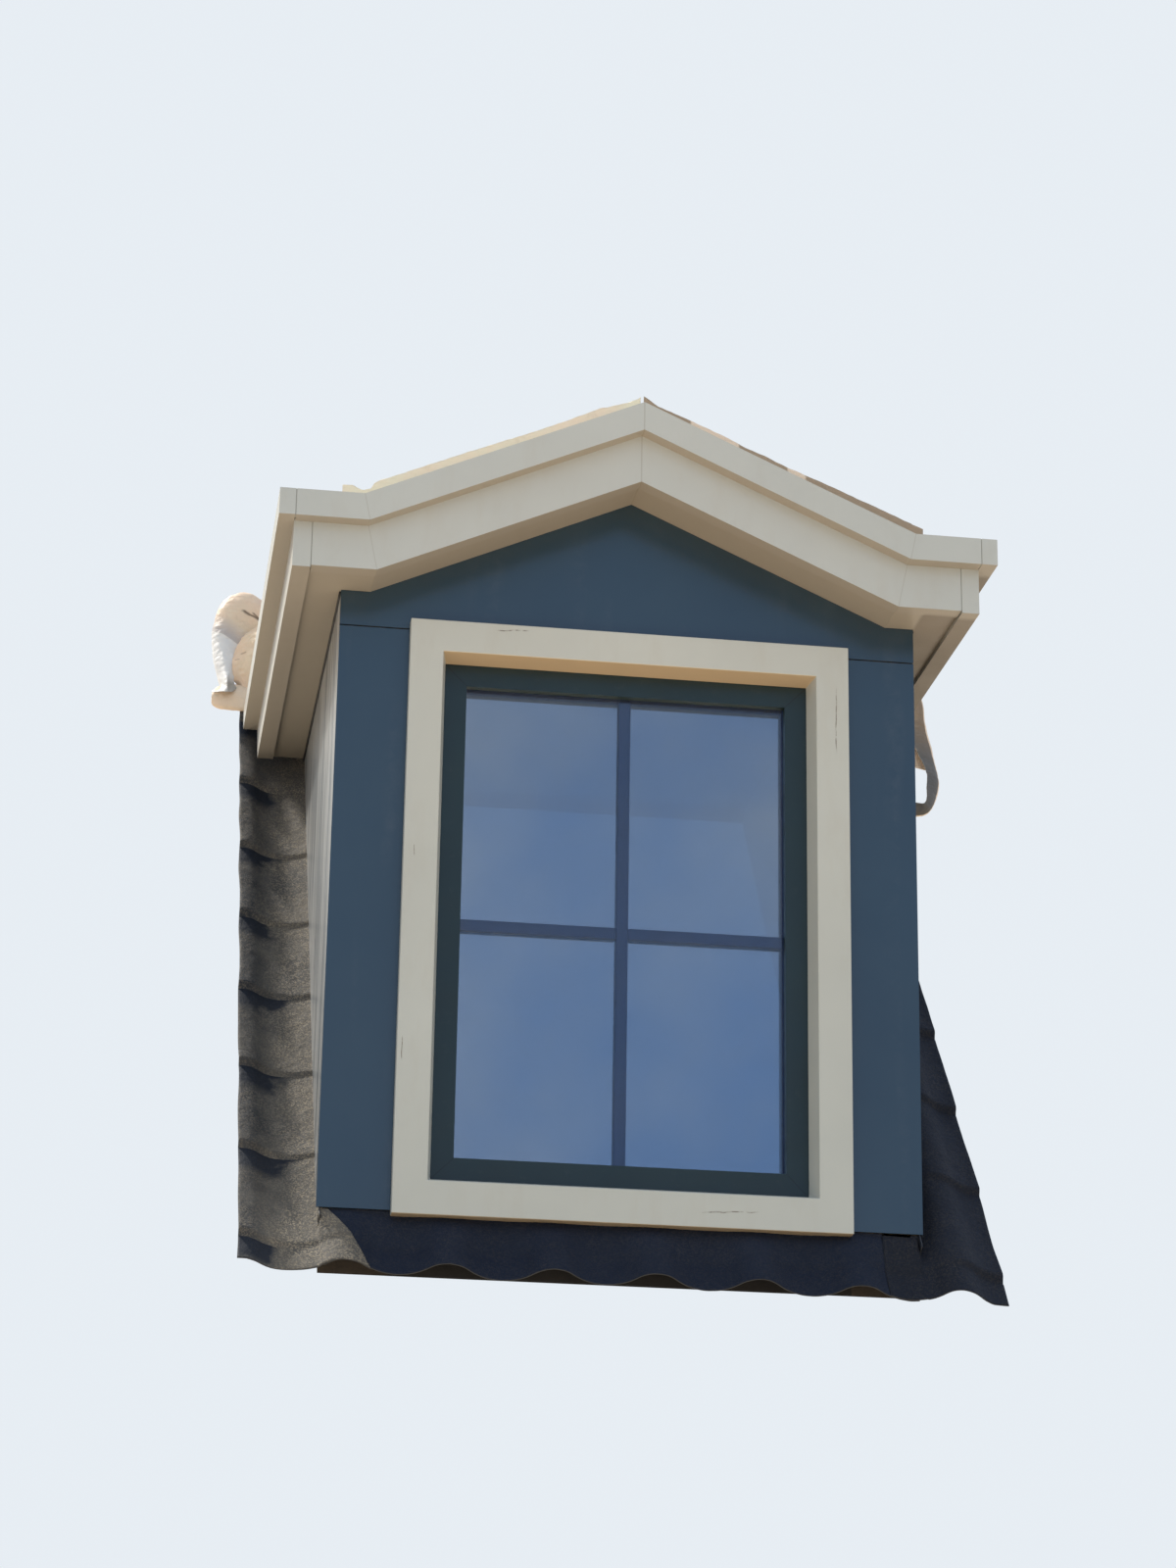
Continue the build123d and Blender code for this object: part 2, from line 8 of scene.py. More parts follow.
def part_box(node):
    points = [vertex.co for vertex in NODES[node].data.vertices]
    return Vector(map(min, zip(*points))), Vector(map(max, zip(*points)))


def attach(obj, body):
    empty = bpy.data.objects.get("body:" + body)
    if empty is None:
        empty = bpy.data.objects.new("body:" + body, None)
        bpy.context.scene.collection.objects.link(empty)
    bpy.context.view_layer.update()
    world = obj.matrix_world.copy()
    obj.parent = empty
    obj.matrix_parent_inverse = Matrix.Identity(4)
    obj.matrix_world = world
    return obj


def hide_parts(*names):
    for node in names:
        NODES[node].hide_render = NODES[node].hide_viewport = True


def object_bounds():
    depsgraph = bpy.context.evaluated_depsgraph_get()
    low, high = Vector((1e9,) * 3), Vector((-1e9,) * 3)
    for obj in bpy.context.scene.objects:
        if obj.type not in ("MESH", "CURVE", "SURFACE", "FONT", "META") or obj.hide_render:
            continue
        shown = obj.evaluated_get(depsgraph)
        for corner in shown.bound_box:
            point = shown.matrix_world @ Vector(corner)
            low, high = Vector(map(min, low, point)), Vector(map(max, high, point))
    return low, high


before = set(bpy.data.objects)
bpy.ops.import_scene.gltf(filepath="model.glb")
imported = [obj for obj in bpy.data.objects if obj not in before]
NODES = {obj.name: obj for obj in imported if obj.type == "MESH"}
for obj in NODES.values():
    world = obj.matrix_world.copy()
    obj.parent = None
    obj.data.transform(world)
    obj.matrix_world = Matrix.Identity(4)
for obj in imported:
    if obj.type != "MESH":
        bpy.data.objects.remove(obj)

CAD_BOX = [list(corner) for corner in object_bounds()]
SIDES = (("left", -1), ("right", 1))

# ---------------------------------------------------------------- sizes, in metres
PITCH = math.radians(51)
ALONG = Vector((0, math.cos(PITCH), math.sin(PITCH)))
OUTWARD = Vector((0, -math.sin(PITCH), math.cos(PITCH)))
COURSE, FIRST_STEP, STEP = 0.284, -0.050, 0.014  # the tile courses up the slope
CORE_Y, WALL_X = -0.042, 0.617  # the wall cores' front and sides, behind the panels
CORNER_X = 0.619  # the flashing's upstand beside a cheek
FASCIA_Y = -0.187
SOFFIT_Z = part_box("soffit_left")[0].z
TRIM_FOOT_Z, TRIM_TOP_Z = (corner.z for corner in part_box("front_trim_left"))
EAVES_BEND_TOP = SOFFIT_Z + 0.1525
GABLE = math.radians(23.8)
TAN_GABLE = math.tan(GABLE)
BEND_FOOT, BEND_X = 0.562, 0.594  # the gable's bends, at the soffit and on the trim
EAVES_TOP = TRIM_TOP_Z - BEND_X * TAN_GABLE


def on_roof(x, station, level):
    """Point at x, a way up the slope and a height off the seat."""
    return Vector((x, 0, 0)) + ALONG * station + OUTWARD * level


# ---------------------------------------------------------------- node helpers
class Nodes:
    """Short calls for what the node trees of the materials and the world share."""

    def __init__(self, tree, coords):
        self.tree = tree
        tree.nodes.clear()
        self.coords = self.node("ShaderNodeTexCoord").outputs[coords]

    def node(self, kind, **values):
        made = self.tree.nodes.new(kind)
        for key, value in values.items():
            setattr(made, key, value)
        return made

    def link(self, a, b):
        self.tree.links.new(a, b)

    def put(self, socket, value):
        if hasattr(value, "links"):
            self.link(value, socket)
        else:
            socket.default_value = value

    def fill(self, made, **values):
        """Set a node's inputs by name, with _ for a space, and return its first output."""
        for key, value in values.items():
            self.put(made.inputs[key.replace("_", " ")], value)
        return made.outputs[0]

    def place(self, scale=(1, 1, 1), turn=(0, 0, 0), shift=(0, 0, 0)):
        return self.fill(self.node("ShaderNodeMapping"), Vector=self.coords, Scale=scale,
                         Rotation=turn, Location=shift)

    def noise(self, scale, detail=3, rough=0.5, vector=None, warp=0.0):
        made = self.node("ShaderNodeTexNoise")
        self.fill(made, Vector=vector or self.coords, Scale=scale, Detail=detail,
                  Roughness=rough, Distortion=warp)
        return made.outputs["Fac"]

    def cells(self, scale, vector=None, feature="F1", output="Distance"):
        made = self.node("ShaderNodeTexVoronoi", feature=feature)
        self.fill(made, Vector=vector or self.coords, Scale=scale)
        return made.outputs[output]

    def spread(self, value, low, high, to_low=0.0, to_high=1.0):
        return self.fill(self.node("ShaderNodeMapRange", clamp=True), Value=value,
                         From_Min=low, From_Max=high, To_Min=to_low, To_Max=to_high)

    def calc(self, operation, *values):
        made = self.node("ShaderNodeMath", operation=operation)
        for socket, value in zip(made.inputs, values):
            self.put(socket, value)
        return made.outputs[0]

    def plus(self, a, b):
        return self.calc("ADD", a, b)

    def minus(self, a, b):
        return self.calc("SUBTRACT", a, b)

    def times(self, a, b):
        return self.calc("MULTIPLY", a, b)

    def absolute(self, a):
        return self.calc("ABSOLUTE", a)

    def inside(self, value, a, b, c, d):
        """0 below a, 1 from b to c and 0 beyond d."""
        return self.times(self.spread(value, a, b), self.spread(value, c, d, 1, 0))

    def blend(self, factor, a, b):
        made = self.node("ShaderNodeMix", data_type="RGBA")
        self.put(made.inputs[0], factor)
        for socket, value in ((made.inputs[6], a), (made.inputs[7], b)):
            self.put(socket, value if hasattr(value, "links") else (*value, 1))
        return made.outputs[2]

    def stain(self, color, mask, weight, tone):
        """The colour with a tone laid over it where the mask is, weight at most."""
        return self.blend(self.times(mask, weight), color, tone)

    def parts(self, vector=None):
        made = self.node("ShaderNodeSeparateXYZ")
        self.link(vector or self.coords, made.inputs[0])
        return made.outputs

    def mix_shaders(self, factor, a, b):
        made = self.node("ShaderNodeMixShader")
        for socket, value in zip(made.inputs, (factor, a, b)):
            self.put(socket, value)
        return made.outputs[0]


class Shader(Nodes):
    """A material with one Principled shader."""

    def __init__(self, name):
        self.material = bpy.data.materials.new(name)
        self.material.use_nodes = True
        super().__init__(self.material.node_tree, "Object")
        self.out = self.node("ShaderNodeOutputMaterial")
        self.bsdf = self.node("ShaderNodeBsdfPrincipled")
        self.link(self.bsdf.outputs[0], self.out.inputs["Surface"])

    def station(self):
        """The way up the slope."""
        x, y, z = self.parts()
        return self.plus(self.times(y, ALONG.y), self.times(z, ALONG.z))

    def facing(self):
        """The parts of the surface's normal."""
        return self.parts(self.node("ShaderNodeNewGeometry").outputs["Normal"])

    def bump(self, height, strength, distance, under=None):
        made = self.node("ShaderNodeBump")
        if under is not None:
            self.link(under, made.inputs["Normal"])
        return self.fill(made, Height=height, Strength=strength, Distance=distance)

    def finish(self, color, rough, normal=None, **constants):
        if normal is not None:
            self.link(normal, self.bsdf.inputs["Normal"])
        self.fill(self.bsdf, Base_Color=color, Roughness=rough, **constants)
        return self.material


def dress(material, *names):
    for name in names:
        slots = NODES[name].data.materials
        slots.clear()
        slots.append(material)


# ---------------------------------------------------------------- lines drawn on materials
def line_mask(s, start, end, width):
    """1 along a thin, slightly wavy line between two points given as (x, z)."""
    (x0, z0), (x1, z1) = start, end
    length = math.hypot(x1 - x0, z1 - z0)
    ux, uz = (x1 - x0) / length, (z1 - z0) / length
    x, y, z = s.parts()
    dx, dz = s.minus(x, x0), s.minus(z, z0)
    run = s.plus(s.times(dx, ux), s.times(dz, uz))
    side = s.minus(s.times(dx, -uz), s.times(dz, -ux))
    wobble = s.spread(s.noise(24, 2), 0.3, 0.7, -width, width)
    line = s.spread(s.absolute(s.plus(side, wobble)), 0.15 * width, width, 1, 0)
    return s.times(line, s.inside(run, 0, 0.15 * length, 0.85 * length, length))


def scuff_mask(s, start, end, width):
    """The same line, broken up and only on the window frame's front face."""
    broken = s.spread(s.noise(70, 4, 0.7), 0.36, 0.56)
    front = s.spread(s.parts()[1], -0.0745, -0.0735, 1, 0)
    return s.times(line_mask(s, start, end, width), s.times(front, broken))


def draw_lines(s, color, lines, tone, mask=line_mask):
    """The colour with lines over it, each given as start, end, width and weight."""
    for start, end, width, weight in lines:
        color = s.stain(color, mask(s, start, end, width), weight, tone)
    return color


def seam_mask(s):
    """1 on the front boards' hairline mitres: at the gable's foot on both sides and its top."""
    x, y, z = s.parts()
    away = s.absolute(x)
    mitre = s.plus(BEND_FOOT, s.times(s.minus(z, SOFFIT_Z), math.tan(GABLE / 2)))
    foot = s.spread(s.absolute(s.minus(away, mitre)), 0.0005, 0.0013, 0.8, 0)
    top = s.spread(away, 0.0008, 0.0018, 1, 0)
    front = s.spread(y, CORE_Y, CORE_Y + 0.01, 1, 0)
    return s.times(s.calc("MAXIMUM", foot, top), front)


# ---------------------------------------------------------------- materials
def cladding_material():
    """Satin blue; on the cheeks also a shallow wave, and a painted sheen in pale upright streaks
    that stands in for reflections.
    """
    s = Shader("cladding_blue")
    cloudy = s.spread(s.noise(3.0, 3, 0.55), 0.35, 0.7)
    color = s.blend(cloudy, (0.0080, 0.035, 0.0605), (0.0115, 0.0425, 0.070))
    streaks = s.noise(9.0, 2, 0.5, s.place(scale=(1.6, 1.6, 0.16)))
    dust = s.times(s.spread(streaks, 0.56, 0.8), s.spread(s.noise(34, 4, 0.6), 0.4, 0.8))
    color = s.stain(color, dust, 0.22, (0.16, 0.17, 0.17))
    rough = s.spread(s.noise(6.0, 4, 0.6), 0.3, 0.75, 0.30, 0.42)
    sag = s.bump(s.noise(2.4, 2, 0.5, s.place(scale=(1.5, 2.6, 0.55)), 0.6), 0.35, 0.006)
    on_cheek = s.spread(s.parts()[1], CORE_Y + 0.001, CORE_Y + 0.006)
    waves = s.times(s.noise(9.0, 2, 0.5, s.place(scale=(1, 2.4, 0.16)), 1.2), on_cheek)
    sag = s.bump(waves, 0.30, 0.006, sag)
    grain = s.bump(s.noise(900, 2, 0.5), 0.10, 0.0004, sag)
    # painted sheen: only the cheeks get a pale sheen in upright streaks, standing in for
    # reflections
    painted_sheen = s.times(s.spread(waves, 0.38, 0.60, 0.10, 0.52), on_cheek)
    s.fill(s.bsdf, Coat_Normal=sag, Sheen_Weight=painted_sheen)
    return s.finish(color, rough, grain, Coat_Weight=0.85, Coat_Roughness=0.20,
                    Sheen_Roughness=0.35)


def cream_material(name, tone=1.0, warm=0.0, scuffs_and_underside_light=(), seams_and_shade=False):
    """Satin cream paint: with scuff lines and painted warm underside light for the window frame,
    and with seam lines and painted shade for the eaves.
    """
    s = Shader(name)
    base = (0.540 * tone, 0.570 * tone * (1 - 0.05 * warm), 0.556 * tone * (1 - 0.2 * warm))
    deep = tuple(v * 0.93 for v in base)
    color = s.blend(s.spread(s.noise(2.6, 4, 0.55), 0.35, 0.72), deep, base)
    film = s.spread(s.noise(18, 5, 0.65, s.place(scale=(1, 1, 0.3))), 0.52, 0.86)
    color = s.stain(color, film, 0.20, (0.42, 0.37, 0.29))
    color = draw_lines(s, color, scuffs_and_underside_light, (0.16, 0.13, 0.10), scuff_mask)
    if seams_and_shade:
        x, y, z = s.parts()
        facing = s.facing()
        color = s.stain(color, seam_mask(s), 0.3, (0.20, 0.17, 0.12))
        # painted shade: undersides are darker and warmer, most of all beside the right cheek, and
        # the left face is darker as in the trim's shadow
        below = s.spread(facing[2], -0.35, -0.75)
        color = s.stain(color, below, 0.75, (0.37, 0.31, 0.235))
        beside = s.times(s.spread(x, WALL_X + 0.004, WALL_X + 0.012),
                         s.spread(y, FASCIA_Y + 0.025, FASCIA_Y + 0.045))
        color = s.stain(color, s.times(below, beside), 0.8, (0.19, 0.155, 0.115))
        left_face_shadow = s.times(s.spread(facing[0], -0.6, -0.9),
                            s.spread(x, -0.765, -0.755, 0.55, 0.85))
        color = s.blend(left_face_shadow, color, (0.40, 0.375, 0.32))
    # painted light: the window frame's undersides are tinted warm, as by light thrown up from below
    if scuffs_and_underside_light:
        color = s.blend(s.spread(s.facing()[2], -0.5, -0.9), color, (0.60, 0.47, 0.31))
    rough = s.spread(s.noise(11, 4, 0.6), 0.3, 0.8, 0.36, 0.50)
    grain = s.bump(s.noise(60, 4, 0.55), 0.05, 0.001)
    return s.finish(color, rough, s.bump(s.noise(750, 2, 0.6), 0.14, 0.0005, grain))


def sash_material():
    """Very dark green, with hairline mitres at the sash's corners."""
    s = Shader("sash_green")
    cloudy = s.spread(s.noise(4, 3), 0.35, 0.7)
    color = s.blend(cloudy, (0.0085, 0.024, 0.026), (0.012, 0.031, 0.033))
    dust = s.spread(s.noise(50, 5, 0.7), 0.58, 0.85)
    color = s.stain(color, dust, 0.10, (0.14, 0.14, 0.13))
    x, y, z = s.parts()
    low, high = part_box("sash_stile_left")[0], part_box("sash_stile_right")[1]
    inward = s.minus(high.x, s.absolute(x))
    down = s.absolute(s.minus(inward, s.minus(high.z, z)))
    upward = s.absolute(s.minus(inward, s.minus(z, low.z)))
    mitre = s.spread(s.calc("MINIMUM", down, upward), 0.0006, 0.0016, 0.75, 0)
    color = s.blend(mitre, color, (0.003, 0.006, 0.006))
    rough = s.spread(s.noise(14, 3), 0.3, 0.75, 0.28, 0.40)
    return s.finish(color, rough, s.bump(s.noise(800, 2, 0.6), 0.14, 0.0004))


def glass_material():
    """A clear outer pane, and an inner pane with a blue solar coating that mirrors the sky."""
    s = Shader("glass_coated")
    low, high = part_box("glass_panes")
    middle = (low.y + high.y) / 2
    inner = s.spread(s.parts()[1], middle - 0.001, middle + 0.001)
    # painted reflection: the coating's blue varies in soft blotches like mirrored clouds
    cloudy = s.spread(s.noise(1.6, 2), 0.35, 0.7)
    coated = s.blend(cloudy, (0.030, 0.055, 0.095), (0.042, 0.070, 0.115))
    color = s.blend(inner, (0.86, 0.92, 0.95), coated)
    rough = s.spread(s.noise(9, 4, 0.6), 0.55, 0.9, 0.0, 0.04)
    ripple = s.bump(s.noise(1.3, 1, 0.3), 0.10, 0.003)
    s.fill(s.bsdf, Coat_Weight=inner)
    return s.finish(color, rough, ripple, Transmission_Weight=1.0, IOR=1.52, Coat_IOR=3.0,
                    Coat_Roughness=0.0)


def spacer_material():
    s = Shader("spacer_painted_sky_blue")
    lines = s.noise(40, 2, 0.4, s.place(scale=(1, 6, 1)))
    # painted reflection: the spacer is coloured blue for the sky mirrored on the outer pane in
    # front of it
    color = s.blend(lines, (0.030, 0.055, 0.150), (0.042, 0.072, 0.180))
    return s.finish(color, s.spread(lines, 0.3, 0.7, 0.6, 0.7), s.bump(lines, 0.04, 0.0002))


def bar_material():
    s = Shader("bar_painted_sky_blue")
    speck = s.noise(40, 3)
    # painted reflection: the bars are coloured blue for the sky mirrored on the outer pane in front
    # of them
    color = s.blend(speck, (0.011, 0.036, 0.108), (0.016, 0.046, 0.130))
    rough = s.spread(speck, 0.3, 0.7, 0.35, 0.5)
    return s.finish(color, rough, s.bump(s.noise(700, 2), 0.1, 0.0004))


def rubber_material():
    s = Shader("gasket_black")
    speck = s.noise(160, 3, 0.6)
    color = s.blend(speck, (0.010, 0.011, 0.012), (0.022, 0.023, 0.024))
    return s.finish(color, s.spread(speck, 0.3, 0.7, 0.5, 0.65), s.bump(speck, 0.25, 0.0005))


def membrane_material():
    s = Shader("membrane_black")
    broad = s.noise(2.4, 4, 0.6)
    color = s.blend(s.spread(broad, 0.35, 0.7), (0.022, 0.023, 0.025), (0.045, 0.045, 0.046))
    color = s.stain(color, s.spread(s.noise(7, 5, 0.7), 0.48, 0.8), 0.35, (0.15, 0.14, 0.125))
    rough = s.spread(broad, 0.3, 0.75, 0.42, 0.62)
    ripple = s.bump(s.noise(5, 3, 0.55, s.place(scale=(1, 0.35, 1))), 0.4, 0.006)
    return s.finish(color, rough, s.bump(s.noise(240, 3, 0.6), 0.25, 0.0008, ripple))


def wood_material(name, light, dark, turn=(0, 0, 0), size=1.0):
    """Planed wood whose grain runs along Y before the turn."""
    s = Shader(name)
    vector = s.place(scale=(18 / size, 1.1 / size, 18 / size), turn=turn)
    rings = s.noise(2.2, 5, 0.6, vector, 0.6)
    fibre = s.noise(26, 3, 0.7, s.place(scale=(10, 0.5, 10), turn=turn))
    both = s.plus(s.times(rings, 0.7), s.times(fibre, 0.3))
    color = s.blend(s.spread(both, 0.35, 0.66), dark, light)
    return s.finish(color, s.spread(fibre, 0.3, 0.7, 0.6, 0.75), s.bump(both, 0.35, 0.0012))


def strand_board_material():
    s = Shader("strand_board")
    first = s.cells(26, s.place(scale=(1, 1, 0.32), turn=(0.3, 0.2, 0.5)), output="Color")
    second = s.place(scale=(1, 0.4, 0.9), turn=(0.9, 0.4, 0.1), shift=(3, 1, 2))
    second = s.cells(30, second, output="Color")
    tone = s.plus(s.parts(first)[0], s.parts(second)[1])
    color = s.blend(s.spread(tone, 0.3, 1.6), (0.26, 0.155, 0.075), (0.52, 0.36, 0.20))
    fibre = s.noise(60, 4, 0.6, s.place(scale=(1, 1, 0.2)))
    color = s.stain(color, s.spread(fibre, 0.45, 0.75), 0.35, (0.22, 0.13, 0.07))
    return s.finish(color, s.spread(fibre, 0.3, 0.7, 0.6, 0.8), s.bump(tone, 0.35, 0.0015))


def lining_material():
    s = Shader("lining_white")
    broad = s.noise(3, 4, 0.55)
    color = s.blend(s.spread(broad, 0.35, 0.7), (0.60, 0.59, 0.56), (0.68, 0.67, 0.64))
    rough = s.spread(broad, 0.3, 0.7, 0.55, 0.7)
    return s.finish(color, rough, s.bump(s.noise(220, 4, 0.6), 0.25, 0.0008))


def flashing_material(name, dark, light, dust, painted_shadows=False):
    """Granular black sheet; for the left strip it adds painted shadows: dark outer patches at each
    course and a darker outer edge, with a band painted lighter beside them.
    """
    s = Shader(name)
    speck = s.parts(s.cells(400, output="Color"))
    grit = s.noise(150, 3, 0.8)
    color = s.blend(s.spread(s.noise(5, 5, 0.62), 0.32, 0.7), dark, light)
    patches = s.spread(s.noise(13, 4, 0.6), 0.35, 0.68, 0.35, 1.0)
    loud = s.plus(speck[0], s.spread(grit, 0.35, 0.65, -0.25, 0.25))
    grains = s.times(s.spread(loud, 0.52, 0.78), patches)
    color = s.stain(color, grains, dust, (0.38, 0.325, 0.245))
    if painted_shadows:
        turn = s.calc("DIVIDE", s.minus(s.station(), FIRST_STEP), COURSE)
        within = s.calc("FRACT", turn)
        ragged = s.spread(s.noise(11, 4, 0.6), 0.3, 0.7, -0.035, 0.035)
        far = s.plus(s.absolute(s.parts()[0]), ragged)
        # painted light: a band near the outer edge is lightened against the shade of the sheet's
        # own wave
        hollow = s.inside(far, 0.680, 0.705, 0.745, 0.765)
        color = s.stain(color, hollow, 0.30, (0.22, 0.205, 0.18))
        # painted shadows: dark patches below each course's step near the outer edge, as cast by the
        # tiles, and darker all along the outer edge
        reach = s.calc("MULTIPLY_ADD", within, -0.10, 0.765)
        painted_shading_patch = s.times(s.spread(within, 0.60, 0.82), s.spread(s.minus(far, reach), 0.0, 0.035))
        edge = s.times(s.spread(far, 0.680, 0.755), 0.52)
        shade = s.calc("MAXIMUM", s.times(painted_shading_patch, 0.95), edge)
        color = s.blend(shade, color, (0.012, 0.018, 0.030))
    height = s.plus(s.times(speck[1], 0.8), s.times(s.noise(300, 2, 0.5), 0.5))
    crinkle = s.bump(s.noise(46, 4, 0.6), 0.6, 0.005)
    rough = s.spread(grit, 0.3, 0.7, 0.70, 0.88)
    return s.finish(color, rough, s.bump(height, 0.6, 0.0018, crinkle), Specular_IOR_Level=0.3)


def cut_edge_material():
    """The flashing's cut edge: its mesh shows pale, but only on the sunlit left strip above its
    foot, as painted light; elsewhere it is dark, as painted shade.
    """
    s = Shader("flashing_cut_edge")
    speck = s.noise(90, 4, 0.7)
    pale = s.blend(s.spread(speck, 0.35, 0.65), (0.22, 0.22, 0.21), (0.44, 0.43, 0.40))
    sunlit_left = s.spread(s.parts()[0], -0.74, -0.70, 1, 0)
    shown = s.times(s.spread(s.station(), -0.105, -0.085), sunlit_left)
    color = s.blend(shown, (0.030, 0.032, 0.036), pale)
    return s.finish(color, s.spread(speck, 0.3, 0.7, 0.5, 0.7), s.bump(speck, 0.4, 0.0006))


def film_material(name, tint, marks=None, sheen=0.15, specular=0.5):
    """Creased liner film that some light shines through; marks adds one piece's own marks, most of
    them painted light and shade.
    """
    s = Shader(name)
    broad = s.noise(7, 4, 0.6)
    pale = tuple(min(0.95, v * 1.08) for v in tint)
    color = s.blend(s.spread(broad, 0.35, 0.7), tint, pale)
    color = s.stain(color, s.spread(s.noise(22, 5, 0.7), 0.55, 0.85), 0.35, (0.36, 0.25, 0.16))
    if marks:
        color = marks(s, color)
    folds = s.cells(30, s.place(scale=(1, 1, 1.8)), feature="DISTANCE_TO_EDGE")
    crease = s.bump(folds, 0.55, 0.005)
    fine = s.bump(s.noise(85, 4, 0.6, s.place(scale=(1, 1, 1.6))), 0.45, 0.0022, crease)
    glow = s.fill(s.node("ShaderNodeBsdfTranslucent"), Color=color)
    s.link(s.mix_shaders(0.22, s.bsdf.outputs[0], glow), s.out.inputs["Surface"])
    return s.finish(color, s.spread(broad, 0.3, 0.7, 0.45, 0.62), fine, Sheen_Weight=sheen,
                    Specular_IOR_Level=specular)


HOOD_CREASE_SHADES = (
    ((-0.788, 1.886), (-0.732, 1.862), 0.0042, 0.9), ((-0.76, 1.884), (-0.725, 1.852), 0.0035, 0.8),
)
LOBE_CREASE_SHADES = (
    ((-0.786, 1.7465), (-0.771, 1.7525), 0.0032, 0.55),
    ((-0.799, 1.728), (-0.786, 1.731), 0.0028, 0.45),
)
SUNLIT = ((0.105, 0.215), (0.318, 0.362))


def hood_marks(s, color):
    """The hood: painted shade greys it down to its fold, white below it; a pale line along the
    fold, and a dark foot and two creases in painted shade.
    """
    x, y, z = s.parts()
    line = s.minus(s.calc("MULTIPLY_ADD", x, -0.583, 1.3227), z)
    color = s.blend(s.spread(line, -0.065, -0.012), color, (0.64, 0.60, 0.59))
    color = s.blend(s.spread(line, -0.001, 0.001), color, (0.90, 0.90, 0.90))
    foot = s.times(s.spread(z, 1.654, 1.684, 0.8, 0), s.spread(x, -0.826, -0.812))
    color = s.blend(foot, color, (0.36, 0.31, 0.24))
    color = draw_lines(s, color, HOOD_CREASE_SHADES, (0.20, 0.13, 0.08))
    return s.blend(s.spread(s.absolute(line), 0.0020, 0.0042, 1, 0), color, (0.93, 0.92, 0.90))


def lobe_marks(s, color):
    """The lobe: painted shade in its hollow and along its creases."""
    x, y, z = s.parts()
    dx = s.calc("DIVIDE", s.plus(x, 0.797), 0.017)
    dz = s.calc("DIVIDE", s.minus(z, 1.656), 0.016)
    away = s.plus(s.times(dx, dx), s.times(dz, dz))
    color = s.blend(s.spread(away, 0.2, 1.6, 0.85, 0), color, (0.22, 0.145, 0.09))
    return draw_lines(s, color, LOBE_CREASE_SHADES, (0.34, 0.23, 0.14))


def edge_marks(s, color):
    """The right edge film: two stretches that the sun reaches."""
    for start, end in SUNLIT:
        painted_shading_patch = s.inside(s.parts()[0], start, start + 0.004, end - 0.004, end)
        color = s.blend(painted_shading_patch, color, (0.92, 0.78, 0.64))
    return color


def ribbon_marks(s, color):
    """The ribbon: paler and warmer in its upper bend, as painted light."""
    return s.blend(s.spread(s.station(), 1.95, 2.17), color, (0.33, 0.24, 0.16))


# ---------------------------------------------------------------- mesh helpers
def add_object(name, data):
    made = bpy.data.objects.new(name, data)
    bpy.context.scene.collection.objects.link(made)
    return made


def add_piece(name, mesh, material):
    made = add_object(name, mesh)
    mesh.materials.append(material)
    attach(made, "root")
    return made


def piece(name, points, faces, material, smooth=True):
    mesh = bpy.data.meshes.new(name)
    mesh.from_pydata([tuple(p) for p in points], [], faces)
    mesh.validate()
    if smooth:
        mesh.polygons.foreach_set("use_smooth", [True] * len(mesh.polygons))
    return add_piece(name, mesh, material)


def box_piece(name, low, high, material):
    points = [Vector((x, y, z)) for x in (low[0], high[0]) for y in (low[1], high[1])
              for z in (low[2], high[2])]
    faces = [(0, 1, 3, 2), (4, 6, 7, 5), (0, 4, 5, 1), (2, 3, 7, 6), (0, 2, 6, 4), (1, 5, 7, 3)]
    return piece(name, points, faces, material, smooth=False)


def grid_faces(rows, columns):
    """Quads between points laid in rows, with columns + 1 points in each of rows + 1 rows."""
    wide = columns + 1
    starts = [i * wide + j for i in range(rows) for j in range(columns)]
    return [(a, a + 1, a + wide + 1, a + wide) for a in starts]


def bevel(obj, width, segments=2):
    made = obj.modifiers.new("edge", "BEVEL")
    made.width = width
    made.segments = segments
    made.limit_method = "ANGLE"
    made.angle_limit = math.radians(28)
    made.harden_normals = True


def thicken(obj, thickness, offset=0):
    made = obj.modifiers.new("thickness", "SOLIDIFY")
    made.thickness = thickness
    made.offset = offset
    return made


def mend_normals(obj, up=None):
    """Turn the faces outward, or an open sheet's faces toward up."""
    shell = bmesh.new()
    shell.from_mesh(obj.data)
    bmesh.ops.recalc_face_normals(shell, faces=shell.faces)
    if up is not None and sum(face.normal.dot(up) for face in shell.faces) < 0:
        bmesh.ops.reverse_faces(shell, faces=shell.faces)
    shell.to_mesh(obj.data)
    shell.free()


# ---------------------------------------------------------------- CAD nodes
PANELS = ("cheek_cladding_left", "cheek_cladding_right", "front_panel_left",
          "front_panel_right", "gable_panel")
FRAME = ("window_frame_head", "window_frame_sill", "window_frame_jamb_left",
         "window_frame_jamb_right")
SASH = ("sash_top_rail", "sash_bottom_rail", "sash_stile_left", "sash_stile_right")
SOFFITS = ("soffit_left", "soffit_right")
BOARDS = tuple(f"{board}_{side}" for side, _ in SIDES
               for board in ("front_fascia", "side_fascia", "front_trim", "side_trim"))
SCUFFS = (
    ((-0.2955, 1.3427), (-0.2218, 1.3482), 0.002, 1.0),
    ((0.4468, 1.2678), (0.4455, 1.1106), 0.0017, 1.0),
    ((0.156, 0.1008), (0.2778, 0.1066), 0.0017, 1.0),
    ((-0.4658, 0.44), (-0.464, 0.3843), 0.0014, 0.9),
    ((-0.4525, 0.8523), (-0.4517, 0.8266), 0.0012, 0.8),
)
FRAME_CREAM = cream_material("frame_cream", tone=1.02, warm=0.2, scuffs_and_underside_light=SCUFFS)
